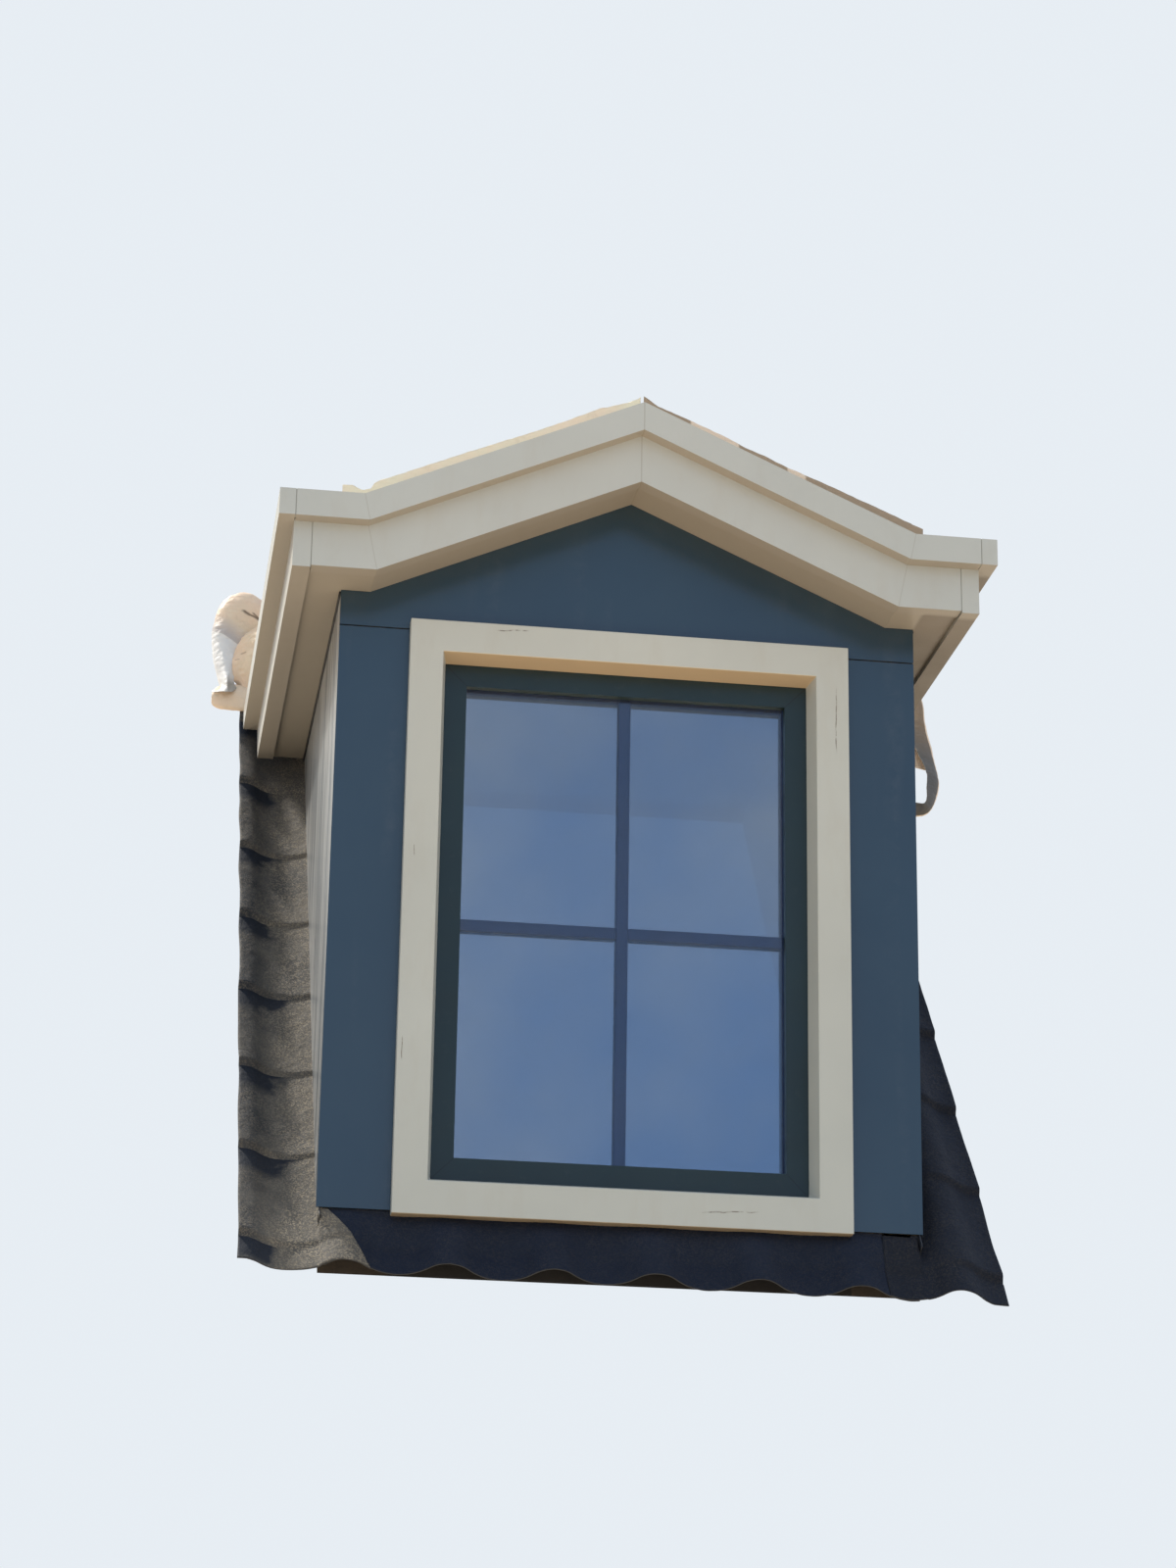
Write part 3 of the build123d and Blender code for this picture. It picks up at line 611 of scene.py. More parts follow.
# lit copies and copies in shade of one flashing: painted shade makes the front and right dark navy;
# painted sunlight makes the left strip paler and tan, its heavy dust partly real dust and partly
# painted light
FLASHING_FRONT_SHADED = flashing_material("flashing_front", (0.0058, 0.0115, 0.0265),
                                   (0.0098, 0.0165, 0.0335), dust=0.04)
FLASHING_LEFT_SUNLIT = flashing_material("flashing_left", (0.068, 0.070, 0.072),
                                  (0.155, 0.141, 0.120), dust=0.72, painted_shadows=True)
FLASHING_RIGHT_SHADED = flashing_material("flashing_right", (0.0062, 0.0096, 0.0180),
                                   (0.0110, 0.0145, 0.0235), dust=0.06)
CUT_EDGE = cut_edge_material()
# copies of one liner film: the left edge film, the hood and the lobe are paler for painted light;
# the right edge film and the flap are darker for painted shade
FILM = film_material("liner_film", (0.90, 0.735, 0.565))
EDGE_FILM_SUNLIT = film_material("liner_film_edge", (0.99, 0.86, 0.70))
EDGE_FILM_SHADED = film_material("liner_film_edge_shaded", (0.47, 0.36, 0.255), edge_marks)
HOOD_FILM_LIT = film_material("liner_film_hood", (0.98, 0.775, 0.61), hood_marks)
LOBE_FILM_LIT = film_material("liner_film_lobe", (0.99, 0.745, 0.555), lobe_marks)
FLAP_FILM_SHADED = film_material("liner_film_flap", (0.15, 0.142, 0.130), ribbon_marks, sheen=0.0,
                          specular=0.15)
TREATED_RAIL = wood_material("treated_rail", (0.060, 0.047, 0.034), (0.034, 0.027, 0.021),
                             (-PITCH, 0, 0))
TREATED_BEAM = wood_material("treated_beam", (0.020, 0.018, 0.017), (0.013, 0.012, 0.012),
                             (0, 0, math.pi / 2))
BEAM = wood_material("softwood_beam", (0.60, 0.43, 0.25), (0.40, 0.25, 0.13),
                     (0, 0, math.pi / 2))
DECK = wood_material("deck_board", (0.52, 0.38, 0.23), (0.36, 0.24, 0.13), size=0.7)

dress(cladding_material(), *PANELS)
dress(FRAME_CREAM, *FRAME)
dress(sash_material(), *SASH)
dress(glass_material(), "glass_panes")
dress(spacer_material(), "glazing_spacer")
# painted shade: the soffits are a darker, warmer copy of the eaves' cream
dress(cream_material("soffit_cream_painted_shade", tone=0.90, warm=0.3, seams_and_shade=True), *SOFFITS)
dress(cream_material("eaves_cream", seams_and_shade=True), *BOARDS)
dress(lining_material(), "cheek_lining_left", "cheek_lining_right", "ceiling_lining")
dress(membrane_material(), "roof_membrane")
dress(FILM, "edge_strips", "liner_roll_left", "liner_flap_right")
dress(FLASHING_LEFT_SUNLIT, "side_flashing_left")
dress(FLASHING_RIGHT_SHADED, "side_flashing_right")
dress(FLASHING_FRONT_SHADED, "apron_flashing")
dress(strand_board_material(), "cheek_wall_left", "cheek_wall_right", "gable_wall")
dress(TREATED_RAIL, "base_rail_left", "base_rail_right")
dress(TREATED_BEAM, "front_base_beam")
dress(BEAM, "top_base_beam")
dress(DECK, "roof_deck_left", "roof_deck_right", "gutter_boards")

for names, edge in ((PANELS, 0.0008), (SOFFITS + BOARDS, 0.0014), (SASH, 0.0007)):
    for name in names:
        bevel(NODES[name], edge)


# ---------------------------------------------------------------- window frame, welded corners
def welded(name, nodes, material):
    """One piece from mitred members: faces inside the mitres go, and corners are joined."""
    shell = bmesh.new()
    for node in nodes:
        member = NODES[node].data.copy()
        member.transform(NODES[node].matrix_world)
        shell.from_mesh(member)
        bpy.data.meshes.remove(member)
    inner = [f for f in shell.faces if abs(f.normal.x) > 0.3 and abs(f.normal.z) > 0.3]
    bmesh.ops.delete(shell, geom=inner, context="FACES")
    bmesh.ops.remove_doubles(shell, verts=shell.verts, dist=2e-5)
    flat = [e for e in shell.edges if len(e.link_faces) == 2 and e.calc_face_angle(1.0) < 0.001]
    bmesh.ops.dissolve_edges(shell, edges=flat, use_verts=False)
    bmesh.ops.recalc_face_normals(shell, faces=shell.faces)
    mesh = bpy.data.meshes.new(name)
    shell.to_mesh(mesh)
    shell.free()
    made = add_piece(name, mesh, material)
    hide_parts(*nodes)
    return made


ring = welded("window_frame_ring", FRAME, FRAME_CREAM)
bevel(ring, 0.0022, segments=3)

# ---------------------------------------------------------------- sealed butt joints of the boards
SEAL_SINK, SEAL_DEPTH, SEAL_SHORT = 0.0007, 0.02, 0.001
SEAL = cream_material("joint_seal", tone=0.62, warm=0.3)
for side, sign in SIDES:
    for front, end, top in (("front_fascia", "side_fascia", TRIM_FOOT_Z),
                            ("front_trim", "side_trim", EAVES_BEND_TOP)):
        low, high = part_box(f"{front}_{side}")
        end_low, end_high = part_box(f"{end}_{side}")
        gap = sorted((high.x, end_low.x) if sign > 0 else (low.x, end_high.x))
        foot = max(low.z, end_low.z)
        box_piece(f"joint_seal_{front}_{side}", (gap[0], low.y + SEAL_SINK, foot + SEAL_SHORT),
                  (gap[1], low.y + SEAL_DEPTH, top - SEAL_SHORT), SEAL)

# ---------------------------------------------------------------- dark seal under the soffit, partly painted shade: its black also stands for the shadow in the gap there
CHEEK_SEAL = rubber_material()
SEAL_PROFILE = ((0.0, 0.0), (0.0036, 0.0), (0.0034, -0.0032), (0.0021, -0.0068), (0.0, -0.0092))
SEAL_START, SEAL_END_Y, SEAL_STEPS = 0.002, 1.036, 40
for side, sign in SIDES:
    low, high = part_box(f"cheek_cladding_{side}")
    wall = low.x if sign < 0 else high.x
    points, faces = [], []
    for i in range(SEAL_STEPS + 1):
        y = low.y + SEAL_START + (SEAL_END_Y - low.y - SEAL_START) * i / SEAL_STEPS
        for out, up in SEAL_PROFILE:
            swell = 1 + 0.18 * noise.noise(Vector((y * 21, up * 90, sign)))
            points.append(Vector((wall + sign * out * swell, y, SOFFIT_Z + up * swell)))
    count = len(SEAL_PROFILE)
    for i in range(SEAL_STEPS):
        for j in range(count):
            a, b = i * count + j, i * count + (j + 1) % count
            faces.append((a, b, b + count, a + count))
    faces += [tuple(range(count)), tuple(range(SEAL_STEPS * count, (SEAL_STEPS + 1) * count))]
    mend_normals(piece(f"cheek_seal_{side}", points, faces, CHEEK_SEAL))

# ---------------------------------------------------------------- glazing bars
BAR_HALF, BAR_EDGE, CROSSING_Z = 0.013, 0.003, 0.708
REBATE, PANE = 0.012, 0.0065  # how far the bars stay off the panes' box at its edges and faces
BARS = bar_material()
low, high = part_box("glass_panes")
bars = [("upright", (-BAR_HALF, BAR_HALF), (low.z + REBATE, high.z - REBATE))]
for side, sign in SIDES:
    ends = sorted((sign * BAR_HALF, sign * (high.x - REBATE)))
    bars.append((side, ends, (CROSSING_Z - BAR_HALF, CROSSING_Z + BAR_HALF)))
for name, (x0, x1), (z0, z1) in bars:
    bar = box_piece(f"glazing_bar_{name}", (x0, low.y + PANE, z0), (x1, high.y - PANE, z1),
                    BARS)
    bevel(bar, BAR_EDGE, segments=3)

# ---------------------------------------------------------------- flashing
CREST_X, TILE, WAVE, CREST_SHARE = 0.060, 0.209, 0.034, 0.38
CREST_LEVEL = 0.086
TROUGH = CREST_LEVEL - WAVE
HALF = TILE / 2
SUM_RADII = (HALF ** 2 + WAVE ** 2) / (2 * WAVE)
CREST_R = CREST_SHARE * SUM_RADII
TROUGH_R = SUM_RADII - CREST_R
FOOT, TOP = -0.120, 2.25
FOOT_LIFT = 0.0020
CELL = 0.005
SHEET, EDGE_WOBBLE = 0.0022, 0.003
UPSTAND_Z, UPSTAND_LEVEL = 0.0806, 0.0893  # its top, behind the front panels and the cheeks'
RISES = (0.35, 0.7, 1.0)
TIP_X = 0.528
LAP_LEFT = (
    (-0.13, -0.512), (-0.11, -0.52), (-0.05, -0.548), (0.0, -0.578), (0.03, -0.6), (0.06, -0.617),
)


def table(pairs, x):
    """Linear interpolation in a list of (x, value) pairs sorted by x."""
    for (x0, v0), (x1, v1) in zip(pairs, pairs[1:]):
        if x <= x1:
            return v0 + (v1 - v0) * max(x - x0, 0) / (x1 - x0)
    return pairs[-1][1]


def smooth(t):
    t = min(max(t, 0.0), 1.0)
    return t * t * (3 - 2 * t)


def wave(x):
    away = abs((x - CREST_X + HALF) % TILE - HALF)
    if away < CREST_SHARE * HALF:
        return WAVE - CREST_R + math.sqrt(CREST_R ** 2 - away ** 2)
    return TROUGH_R - math.sqrt(TROUGH_R ** 2 - (HALF - away) ** 2)


def flashing_level(x, station, seed):
    """Height off the seat of the flashing's upper face: tile waves, course steps and creases."""
    turn = (station - FIRST_STEP) / COURSE
    within = turn - math.floor(turn)  # share of the way up one course
    lip = 0.045 + 0.012 * noise.noise(Vector((x * 9, turn * 3.1, seed)))
    drop = STEP * within if within > lip else STEP * (1 - smooth(within / lip)) + STEP * within
    if within > 0.985:
        drop += 0.0015 * smooth((within - 0.985) / 0.015)
    # the waves fade where the sheet meets the front wall, and the steps there and at the sides
    near = smooth((station + 0.055) / 0.085) if abs(x) < WALL_X else 0.0
    depth = 1 - 0.85 * near
    edge = smooth((abs(x) - WALL_X) / 0.05) if abs(x) > WALL_X else 1.0
    base = TROUGH + (1 - depth) * WAVE + depth * wave(x) * (0.75 + 0.25 * edge)
    drop *= 1 - 0.75 * near
    drop *= 0.35 + 0.65 * smooth((abs(x) - 0.66) / 0.09)
    soft = 0.0016 * noise.noise(Vector((x * 14, station * 11, seed + 2)))
    fold = 0.0011 * abs(noise.noise(Vector((x * 36, station * 22, seed + 5))))
    return base - drop + soft - fold - 0.0008


def front_station(x, seed):
    """Where the flashing meets the front wall's plane at x."""
    station = 0.03
    for _ in range(6):
        level = flashing_level(x, station, seed)
        station = (CORE_Y - 0.002 + level * math.sin(PITCH)) / math.cos(PITCH)
    return station


def behind_panel(base, share):
    """Point a share of the way up the upstand behind the front panels."""
    return Vector((base.x, CORE_Y - 0.0025, base.z + (UPSTAND_Z - base.z) * share))


def behind_cheek(base, share):
    """Point a share of the way up the upstand behind a cheek's panel."""
    level = base.dot(OUTWARD)
    point = on_roof(base.x, base.dot(ALONG), level + (UPSTAND_LEVEL - level) * share)
    if point.y < CORE_Y + 0.001:
        point.z = min(point.z, UPSTAND_Z)
    return point


def flashing_skin(name, node, material, columns, slope, lift, seed, top=None, lap=None):
    """Sheet over the tiles in front of the wall, and beside it up to top.

    slope slants its foot, lift raises it and lap draws its inner edge.
    """
    in_front = [abs(x) < WALL_X + 0.0025 for x in columns]
    beside = min(range(len(columns)), key=lambda i: abs(abs(columns[i]) - CORNER_X))
    outer = columns[0] if abs(columns[0]) > abs(columns[-1]) else columns[-1]
    corner = front_station(math.copysign(CORNER_X, columns[0] + columns[-1]), seed)
    front_rows = max(8, round((corner - FOOT) / CELL))
    side_rows = round((top - corner) / CELL) if top else 0
    floor_z = CAD_BOX[0][2] + FOOT_LIFT
    points, faces, index = [], [], {}

    def add(key, point):
        index[key] = len(points)
        points.append(point)

    def add_sheet(i, j, x, station):
        """A point of the sheet; near its outer cut edge it is drawn in and made wavy."""
        near = smooth(1 - abs(columns[i] - outer) / 0.05)
        shift = (near * EDGE_WOBBLE * noise.noise(Vector((station * 9, seed, 1.7)))
                 - math.copysign(EDGE_WOBBLE, outer) * near)
        add((i, j), on_roof(x + shift, station, flashing_level(x, station, seed) + lift))

    def quad(*keys):
        if all(key in index for key in keys):
            faces.append([index[key] for key in keys])

    def stand_up(base, raised):
        """Rows of faces above the base's points."""
        for key in base:
            for share in RISES:
                add((raised, key, share), raised(points[index[key]], share))
        for a, b in zip(base, base[1:]):
            lower = (a, b)
            for share in RISES:
                upper = ((raised, a, share), (raised, b, share))
                quad(*lower, *reversed(upper))
                lower = upper

    for i, x in enumerate(columns):
        foot = FOOT - slope * x + 0.004 * noise.noise(Vector((x * 7, seed, 0.3)))
        level = flashing_level(x, foot, seed)
        start = max(foot, (floor_z - level * math.cos(PITCH)) / math.sin(PITCH))
        end = front_station(x, seed) if in_front[i] else corner
        for j in range(front_rows + 1):
            station = start + (end - start) * j / front_rows
            add_sheet(i, j, lap(x, station) if lap and in_front[i] else x, station)
    for i, x in enumerate(columns):
        if i == beside or not in_front[i]:
            for j in range(1, side_rows + 1):
                add_sheet(i, front_rows + j, x, corner + (top - corner) * j / side_rows)
    for i in range(len(columns) - 1):
        for j in range(front_rows + side_rows):
            quad((i, j), (i + 1, j), (i + 1, j + 1), (i, j + 1))
    stand_up([(i, front_rows) for i in range(len(columns)) if in_front[i]], behind_panel)
    if top:
        stand_up([(beside, front_rows + j) for j in range(side_rows + 1)], behind_cheek)
    made = piece(name, points, faces, material)
    mend_normals(made, OUTWARD)
    thicken(made, SHEET, -1).material_offset_rim = 1
    made.data.materials.append(CUT_EDGE)
    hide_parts(node)


def spread_columns(low, high, extra=()):
    count = round((high - low) / CELL)
    values = [low + (high - low) * k / count for k in range(count + 1)]
    for x in extra:
        values = [v for v in values if abs(v - x) > CELL * 0.5] + [x]
    return sorted(values)


def left_tip(x, station):
    """The left strip's foot tapers from a tongue at its tip to nothing at the wall's corner."""
    share = (x + CORNER_X) / (CORNER_X - TIP_X)
    return -CORNER_X + share * (table(LAP_LEFT, station) + CORNER_X)


flashing_skin("flashing_front", "apron_flashing", FLASHING_FRONT_SHADED,
              spread_columns(-0.614, 0.600), slope=0.012, lift=-0.0016, seed=1.3)
flashing_skin("flashing_side_left", "side_flashing_left", FLASHING_LEFT_SUNLIT,
              spread_columns(-0.784, -TIP_X, (-CORNER_X,)), slope=0.0, lift=0.0012, seed=4.1,
              top=TOP, lap=left_tip)
flashing_skin("flashing_side_right", "side_flashing_right", FLASHING_RIGHT_SHADED,
              spread_columns(0.540, 0.7915, (CORNER_X,)), slope=0.012, lift=0.0012, seed=8.7,
              top=TOP)


# ---------------------------------------------------------------- loose liner film
FILM_THICKNESS, EDGE_THICKNESS = 0.0012, 0.0014


def between(values, t):
    """Catmull-Rom through a list of vectors, t from 0 to 1."""
    spans = len(values) - 1
    at = min(max(t, 0.0), 1.0) * spans
    i = min(int(at), spans - 1)
    u = at - i
    a, b = values[max(i - 1, 0)], values[i]
    c, d = values[i + 1], values[min(i + 2, spans)]
    return 0.5 * ((2 * b) + (c - a) * u + (2 * a - 5 * b + 4 * c - d) * u * u
                  + (3 * b - a - 3 * c + d) * u ** 3)


def film_net(name, rows, material, across, along, crumple, seed):
    """Crumpled film through rows of vectors: across steps in a row, along steps over them."""
    points, moved = [], []
    for i in range(along + 1):
        line = [between([row[k] for row in rows], i / along) for k in range(len(rows[0]))]
        points += [between(line, j / across) for j in range(across + 1)]
    width = across + 1
    for i in range(along + 1):
        for j in range(width):
            here = points[i * width + j]
            du = points[i * width + min(j + 1, across)] - points[i * width + max(j - 1, 0)]
            dv = points[min(i + 1, along) * width + j] - points[max(i - 1, 0) * width + j]
            normal = du.cross(dv)
            if normal.length > 1e-12:
                normal.normalize()
            key = here * 17 + Vector((seed, 0, 0))
            rough = (noise.noise(key) + 0.55 * noise.noise(key * 2.3)
                     - 0.7 * abs(noise.noise(key * 3.9)))
            moved.append(here + normal * crumple * rough)
    made = piece(name, moved, grid_faces(along, across), material)
    thicken(made, FILM_THICKNESS)
    return made


# each pair is a distance from the middle in metres and a height in millimetres
EDGE_LEFT = (
    (0.003, 31), (0.008, 27), (0.033, 27), (0.066, 31), (0.093, 35), (0.115, 33), (0.161, 31),
    (0.245, 30), (0.329, 32), (0.412, 33), (0.495, 33), (0.56, 34), (0.573, 32), (0.58, 22),
    (0.598, 23), (0.619, 33), (0.64, 32),
)
EDGE_RIGHT = (
    (0.003, 32), (0.02, 29), (0.036, 24), (0.074, 27), (0.133, 29), (0.182, 30), (0.23, 27),
    (0.269, 30), (0.31, 29), (0.42, 34), (0.527, 37), (0.592, 38), (0.618, 28),
)
EDGE_START, EDGE_LIFT = 0.0035, 0.0035
EDGE_STEPS, EDGE_LEVELS = 190, 6
for (name, side), heights, film in zip(SIDES, (EDGE_LEFT, EDGE_RIGHT),
                                       (EDGE_FILM_SUNLIT, EDGE_FILM_SHADED)):
    reach_x = heights[-1][0]
    points = []
    for i in range(EDGE_STEPS + 1):
        x = EDGE_START + (reach_x - EDGE_START) * i / EDGE_STEPS
        ground = EAVES_TOP + max(BEND_X - x, 0) * TAN_GABLE + EDGE_LIFT
        ragged = 0.0012 * noise.noise(Vector((x * 60, side, 0)))
        tall = table(heights, x) / 1000 + ragged - EDGE_LIFT
        lean = (0.005 * noise.noise(Vector((x * 8, side * 3, 1)))
                + 0.002 * noise.noise(Vector((x * 34, side, 2))))
        for j in range(EDGE_LEVELS + 1):
            share = j / EDGE_LEVELS
            back = (lean * share ** 1.5
                    + 0.0006 * noise.noise(Vector((x * 90, share * 4, side))))
            y = FASCIA_Y + 0.0025 + abs(back) * 0.6 + back * 0.4
            points.append(Vector((side * x, y, ground + tall * share)))
    strip = piece(f"edge_film_{name}", points, grid_faces(EDGE_STEPS, EDGE_LEVELS), film)
    thicken(strip, EDGE_THICKNESS)
    if side < 0:
        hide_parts("edge_strips")

# each point is x, way up the slope, height off the seat
HOOD_BACK = (
    (-0.712, 2.325, 0.09), (-0.748, 2.33, 0.089), (-0.779, 2.33, 0.088), (-0.812, 2.325, 0.084),
    (-0.832, 2.3, 0.08), (-0.842, 2.24, 0.078), (-0.84, 2.185, 0.08), (-0.836, 2.12, 0.084),
    (-0.832, 2.075, 0.09), (-0.828, 2.045, 0.096), (-0.846, 2.015, 0.104),
)
HOOD_RIM = (
    (-0.7125, 2.293, 0.197), (-0.7486, 2.318, 0.217), (-0.7795, 2.325, 0.223),
    (-0.813, 2.3155, 0.2177), (-0.839, 2.285, 0.203), (-0.8527, 2.231, 0.175),
    (-0.8544, 2.182, 0.152), (-0.8472, 2.114, 0.1265), (-0.8364, 2.07, 0.1164),
    (-0.829, 2.035, 0.1163), (-0.8512, 2.004, 0.1144),
)
HOOD_FACE = (
    (-0.713, 2.248, 0.199), (-0.741, 2.267, 0.2147), (-0.7737, 2.276, 0.2216),
    (-0.798, 2.266, 0.2164), (-0.8166, 2.237, 0.203), (-0.827, 2.19, 0.1806),
    (-0.8304, 2.147, 0.1624), (-0.8263, 2.087, 0.1436), (-0.8206, 2.045, 0.135),
    (-0.8178, 2.0065, 0.132), (-0.825, 1.9785, 0.1327),
)
HOOD_LIP = (
    (-0.7108, 2.221, 0.1694), (-0.7333, 2.228, 0.175), (-0.7575, 2.2164, 0.168),
    (-0.77, 2.202, 0.163), (-0.778, 2.19, 0.16), (-0.7911, 2.175, 0.158), (-0.798, 2.148, 0.153),
    (-0.8046, 2.102, 0.145), (-0.81, 2.059, 0.136), (-0.81, 2.015, 0.1286), (-0.804, 1.987, 0.129),
)
LOBE_EDGE = (
    (-0.714, 2.218, 0.2106), (-0.7402, 2.198, 0.2), (-0.7674, 2.178, 0.189), (-0.791, 2.15, 0.171),
    (-0.8052, 2.122, 0.1535), (-0.8125, 2.091, 0.134), (-0.8076, 2.0695, 0.1215),
    (-0.7924, 2.0525, 0.1128), (-0.7798, 2.039, 0.1074), (-0.7553, 2.029, 0.1),
    (-0.7068, 2.02, 0.092),
)
# the lobe's far end at LOBE_END_X: way up the slope, height off the seat
LOBE_END = (
    (2.225, 0.205), (2.175, 0.2), (2.13, 0.188), (2.095, 0.172), (2.07, 0.156), (2.05, 0.14),
    (2.036, 0.126), (2.028, 0.113), (2.022, 0.102), (2.02, 0.094), (2.022, 0.089),
)
LOBE_END_X = -0.700
# x, the tongue's lower edge and its upper one as way and height, and how deep it is rolled
TONGUE = (
    (-0.8515, 1.972, 0.098, 2.002, 0.1125, 0.35), (-0.838, 1.963, 0.09, 2.008, 0.118, 0.8),
    (-0.805, 1.96, 0.0885, 2.011, 0.12, 1.0), (-0.77, 1.96, 0.0885, 2.01, 0.119, 1.0),
    (-0.735, 1.962, 0.0885, 2.009, 0.117, 1.0), (-0.702, 1.965, 0.0885, 2.006, 0.112, 0.9),
)
FLAP_INNER = (
    (0.765, 2.186, 0.0442), (0.8, 2.204, 0.046), (0.85, 2.262, 0.066), (0.908, 2.318, 0.084),
    (0.948, 2.31, 0.088), (0.951, 2.259, 0.088), (0.946, 2.203, 0.088), (0.938, 2.123, 0.088),
    (0.933, 2.064, 0.088), (0.93, 2.003, 0.088), (0.938, 1.928, 0.088), (0.94, 1.884, 0.088),
    (0.936, 1.851, 0.088), (0.928, 1.808, 0.088), (0.922, 1.767, 0.088), (0.909, 1.735, 0.088),
    (0.88, 1.74, 0.084), (0.838, 1.746, 0.066), (0.8, 1.748, 0.0515), (0.765, 1.748, 0.052),
)
FLAP_OUTER = (
    (0.752, 2.212, 0.0478), (0.796, 2.234, 0.048), (0.848, 2.292, 0.06), (0.905, 2.345, 0.074),
    (0.968, 2.334, 0.08), (0.99, 2.277, 0.08), (0.989, 2.222, 0.08), (0.983, 2.15, 0.076),
    (0.982, 2.1, 0.07), (0.983, 2.05, 0.064), (0.982, 1.979, 0.06), (0.98, 1.923, 0.06),
    (0.976, 1.888, 0.06), (0.968, 1.842, 0.06), (0.95, 1.784, 0.06), (0.918, 1.728, 0.06),
    (0.88, 1.71, 0.06), (0.838, 1.712, 0.053), (0.8, 1.714, 0.0505), (0.765, 1.716, 0.0535),
)
FLAP_STEPS, FLAP_SHADED_STEPS = 190, 12
TAB = (
    ((0.79, 2.06, 0.056), (0.84, 2.075, 0.066), (0.895, 2.09, 0.08), (0.94, 2.062, 0.066),
     (0.958, 2.045, 0.06)),
    ((0.79, 2.01, 0.056), (0.84, 2.015, 0.064), (0.895, 2.02, 0.08), (0.942, 2.005, 0.066),
     (0.962, 1.99, 0.06)),
    ((0.79, 1.96, 0.056), (0.84, 1.95, 0.064), (0.895, 1.935, 0.076), (0.94, 1.938, 0.062),
     (0.962, 1.938, 0.058)),
)


def spots_on_roof(values, x=0.0, station=0.0, level=0.0):
    return [on_roof(a + x, b + station, c + level) for a, b, c in values]


back, rim = spots_on_roof(HOOD_BACK), spots_on_roof(HOOD_RIM)
hood_rows = [back, [(a * 0.4 + b * 0.6) + ALONG * 0.012 for a, b in zip(back, rim)], rim,
             spots_on_roof(HOOD_FACE), spots_on_roof(HOOD_LIP),
             spots_on_roof(HOOD_LIP, 0.012, 0.030, -0.006)]
hood = film_net("liner_roll", hood_rows, HOOD_FILM_LIT, across=150, along=90, crumple=0.0022,
                seed=3.0)
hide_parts("liner_roll_left")

lobe_rows = [spots_on_roof(LOBE_EDGE, 0.014, 0.034, -0.004), spots_on_roof(LOBE_EDGE)]
for share in (0.3, 0.65):
    puff = 0.022 * math.sin(math.pi * min(share * 0.62, 0.5))
    lobe_rows.append([
        on_roof(x + (LOBE_END_X - x) * share, station + (end_station - station) * share,
                level + (end_level - level) * share) - Vector((0, puff, 0))
        for (x, station, level), (end_station, end_level) in zip(LOBE_EDGE, LOBE_END)])
lobe_rows.append([on_roof(LOBE_END_X, *end) for end in LOBE_END])
lobe = film_net("liner_roll_lobe", lobe_rows, LOBE_FILM_LIT, across=120, along=90, crumple=0.0046,
                seed=5.0)

tongue_rows = []
for x, low_s, low_h, top_s, top_h, deep in TONGUE:
    half = (low_h + top_h) / 2
    ring = ((low_s + 0.012 * deep, low_h), (low_s, low_h + 0.003), (low_s + 0.006, half),
            (top_s - 0.012, top_h - 0.001), (top_s, top_h), (top_s + 0.030 * deep, top_h - 0.003),
            (top_s + 0.042 * deep, half), (top_s + 0.030 * deep, low_h + 0.002),
            (low_s + 0.030 * deep, low_h))
    tongue_rows.append([on_roof(x, station, level) for station, level in ring])
tongue = film_net("liner_roll_tongue", tongue_rows, FILM, across=80, along=70, crumple=0.0026,
                  seed=7.0)

inner_edge, outer_edge = spots_on_roof(FLAP_INNER), spots_on_roof(FLAP_OUTER)
middle = [(a + b) / 2 for a, b in zip(inner_edge, outer_edge)]
for i in range(3, 17):
    middle[i] += Vector((0.004 + 0.002 * math.sin(i * 1.3), -0.003, -0.002))
flap = film_net("liner_flap", [inner_edge, middle, outer_edge], FLAP_FILM_SHADED, across=FLAP_STEPS,
                along=14, crumple=0.0016, seed=9.0)
# painted shade: most of the flap's rows take the dark copy of the film; its last rows, at the outer
# edge, keep the plain film as a painted lit rim
flap.data.materials.append(FILM)
for k, face in enumerate(flap.data.polygons):
    face.material_index = 1 if k // FLAP_STEPS >= FLAP_SHADED_STEPS else 0
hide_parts("liner_flap_right")

tab = film_net("liner_tab", [spots_on_roof(row) for row in TAB], FILM, across=60, along=40,
               crumple=0.0022, seed=11.0)

# ---------------------------------------------------------------- camera, lamps, backdrop
YAW, TILT, ROLL = 0.142546, 0.337560, 0.015743
CAMERA_PLACE = (-1.09173, -7.05762, -1.46762)
SENSOR, FOCAL_SHARE = 36, 3614.2 / 1600
forward = Vector((math.sin(YAW) * math.cos(TILT), math.cos(YAW) * math.cos(TILT), math.sin(TILT)))
level_right = Vector((math.cos(YAW), -math.sin(YAW), 0))
level_up = level_right.cross(forward)
right = math.cos(ROLL) * level_right + math.sin(ROLL) * level_up
up = -math.sin(ROLL) * level_right + math.cos(ROLL) * level_up
camera_data = bpy.data.cameras.new("camera")
camera_data.sensor_width = SENSOR
camera_data.lens = SENSOR * FOCAL_SHARE
camera = add_object("camera", camera_data)
camera.matrix_world = Matrix.Translation(CAMERA_PLACE) @ Matrix(
    (right, up, -forward)).transposed().to_4x4()
bpy.context.scene.camera = camera

FLOOR_Z, REACH = -1.75, 40.0
shader = Shader("floor_pale")
tone = shader.blend(shader.noise(1.2, 3), (0.50, 0.43, 0.355), (0.54, 0.47, 0.39))
floor_mesh = bpy.data.meshes.new("floor")
floor_mesh.from_pydata([(x * REACH, y * REACH, FLOOR_Z)
                        for x, y in ((-1, -1), (1, -1), (1, 1), (-1, 1))], [], [(0, 1, 2, 3)])
floor = add_object("floor", floor_mesh)
floor_mesh.materials.append(shader.finish(tone, 0.9))


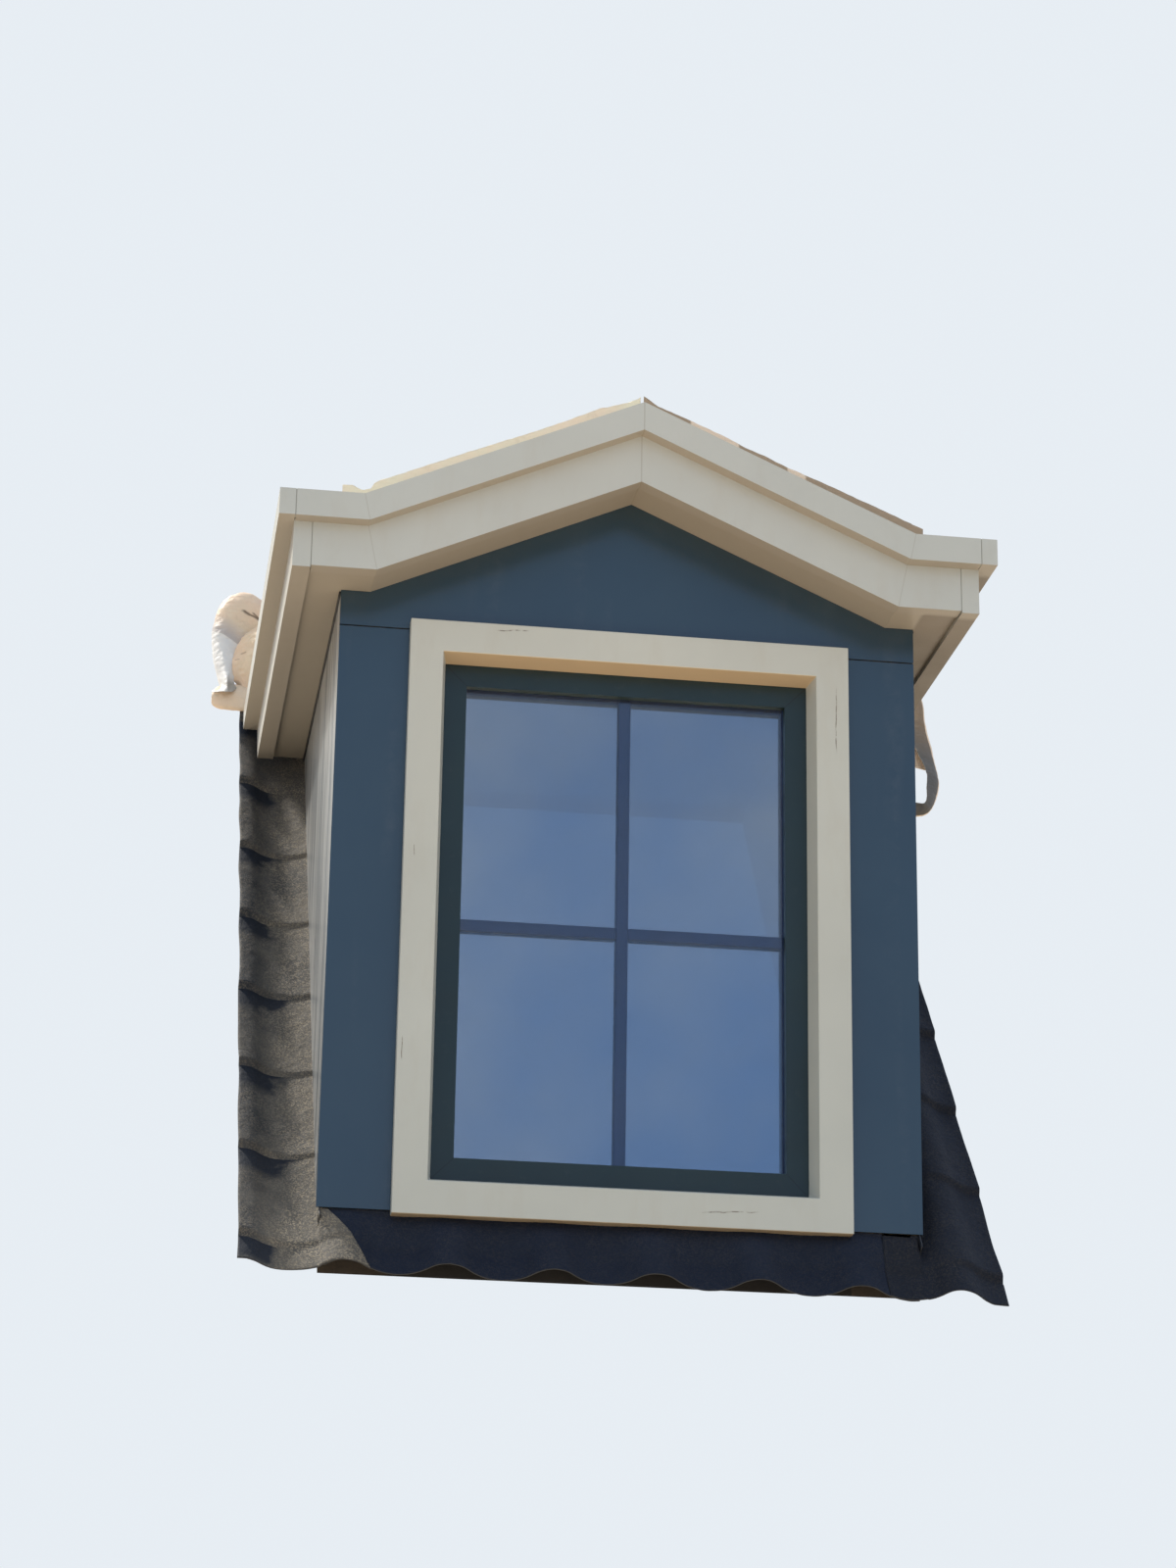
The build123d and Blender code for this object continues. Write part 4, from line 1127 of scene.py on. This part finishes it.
def lamp(name, kind, toward, energy, color, **values):
    """A lamp that lies toward a direction and shines from there."""
    data = bpy.data.lights.new(name, kind)
    data.energy = energy
    data.color = color
    for key, value in values.items():
        setattr(data, key, value)
    made = add_object(name, data)
    made.rotation_euler = toward.to_track_quat("Z", "Y").to_euler()
    return made


UNDER_PLACE, UNDER_TARGET = Vector((-0.1, -2.3, -1.2)), Vector((0, -0.12, 1.62))
lamp("key", "SUN", Vector((-0.44, 0.43, 0.78)), 4.2, (1.0, 0.93, 0.82), angle=math.radians(5))
under = lamp("under", "SPOT", UNDER_PLACE - UNDER_TARGET, 90, (1.0, 0.66, 0.36),
             shadow_soft_size=0.5, spot_size=math.radians(34), spot_blend=1.0)
under.location = UNDER_PLACE
under.visible_camera = False

world = bpy.data.worlds.new("studio")
bpy.context.scene.world = world
world.use_nodes = True
sky = Nodes(world.node_tree, "Generated")


def background(color, strength=1.0):
    return sky.fill(sky.node("ShaderNodeBackground"), Color=color, Strength=strength)


# what glass and gloss mirror: clouded sky in front and above, pale light behind
along_y = sky.parts()[1]
clouds = sky.spread(sky.noise(10.0, 4, 0.55), 0.38, 0.68)
mirrored = sky.blend(clouds, (0.30, 0.465, 0.84), (0.55, 0.655, 0.89))
mirrored = sky.blend(sky.spread(along_y, 0.45, 0.80), mirrored, (1.25, 1.24, 1.17))
# the camera, and rays through the glass toward the back, see a plain pale backdrop; glossy rays,
# and rays through the glass toward the front, see the mirrored sky; the rest is fill light
ray = sky.node("ShaderNodeLightPath").outputs
through = ray["Is Transmission Ray"]
leaving = sky.times(sky.calc("LESS_THAN", along_y, 0.0), through)
bounced = sky.calc("MAXIMUM", ray["Is Glossy Ray"], leaving)
seen = sky.calc("MAXIMUM", ray["Is Camera Ray"], sky.minus(through, leaving))
lit = sky.mix_shaders(bounced, background((0.90, 0.96, 1.0, 1), 0.80),
                      background(mirrored))
shown = sky.mix_shaders(seen, lit, background((0.80, 0.85, 0.90, 1)))
sky.link(shown, sky.node("ShaderNodeOutputWorld").inputs["Surface"])

bpy.context.scene.view_settings.view_transform = "Standard"
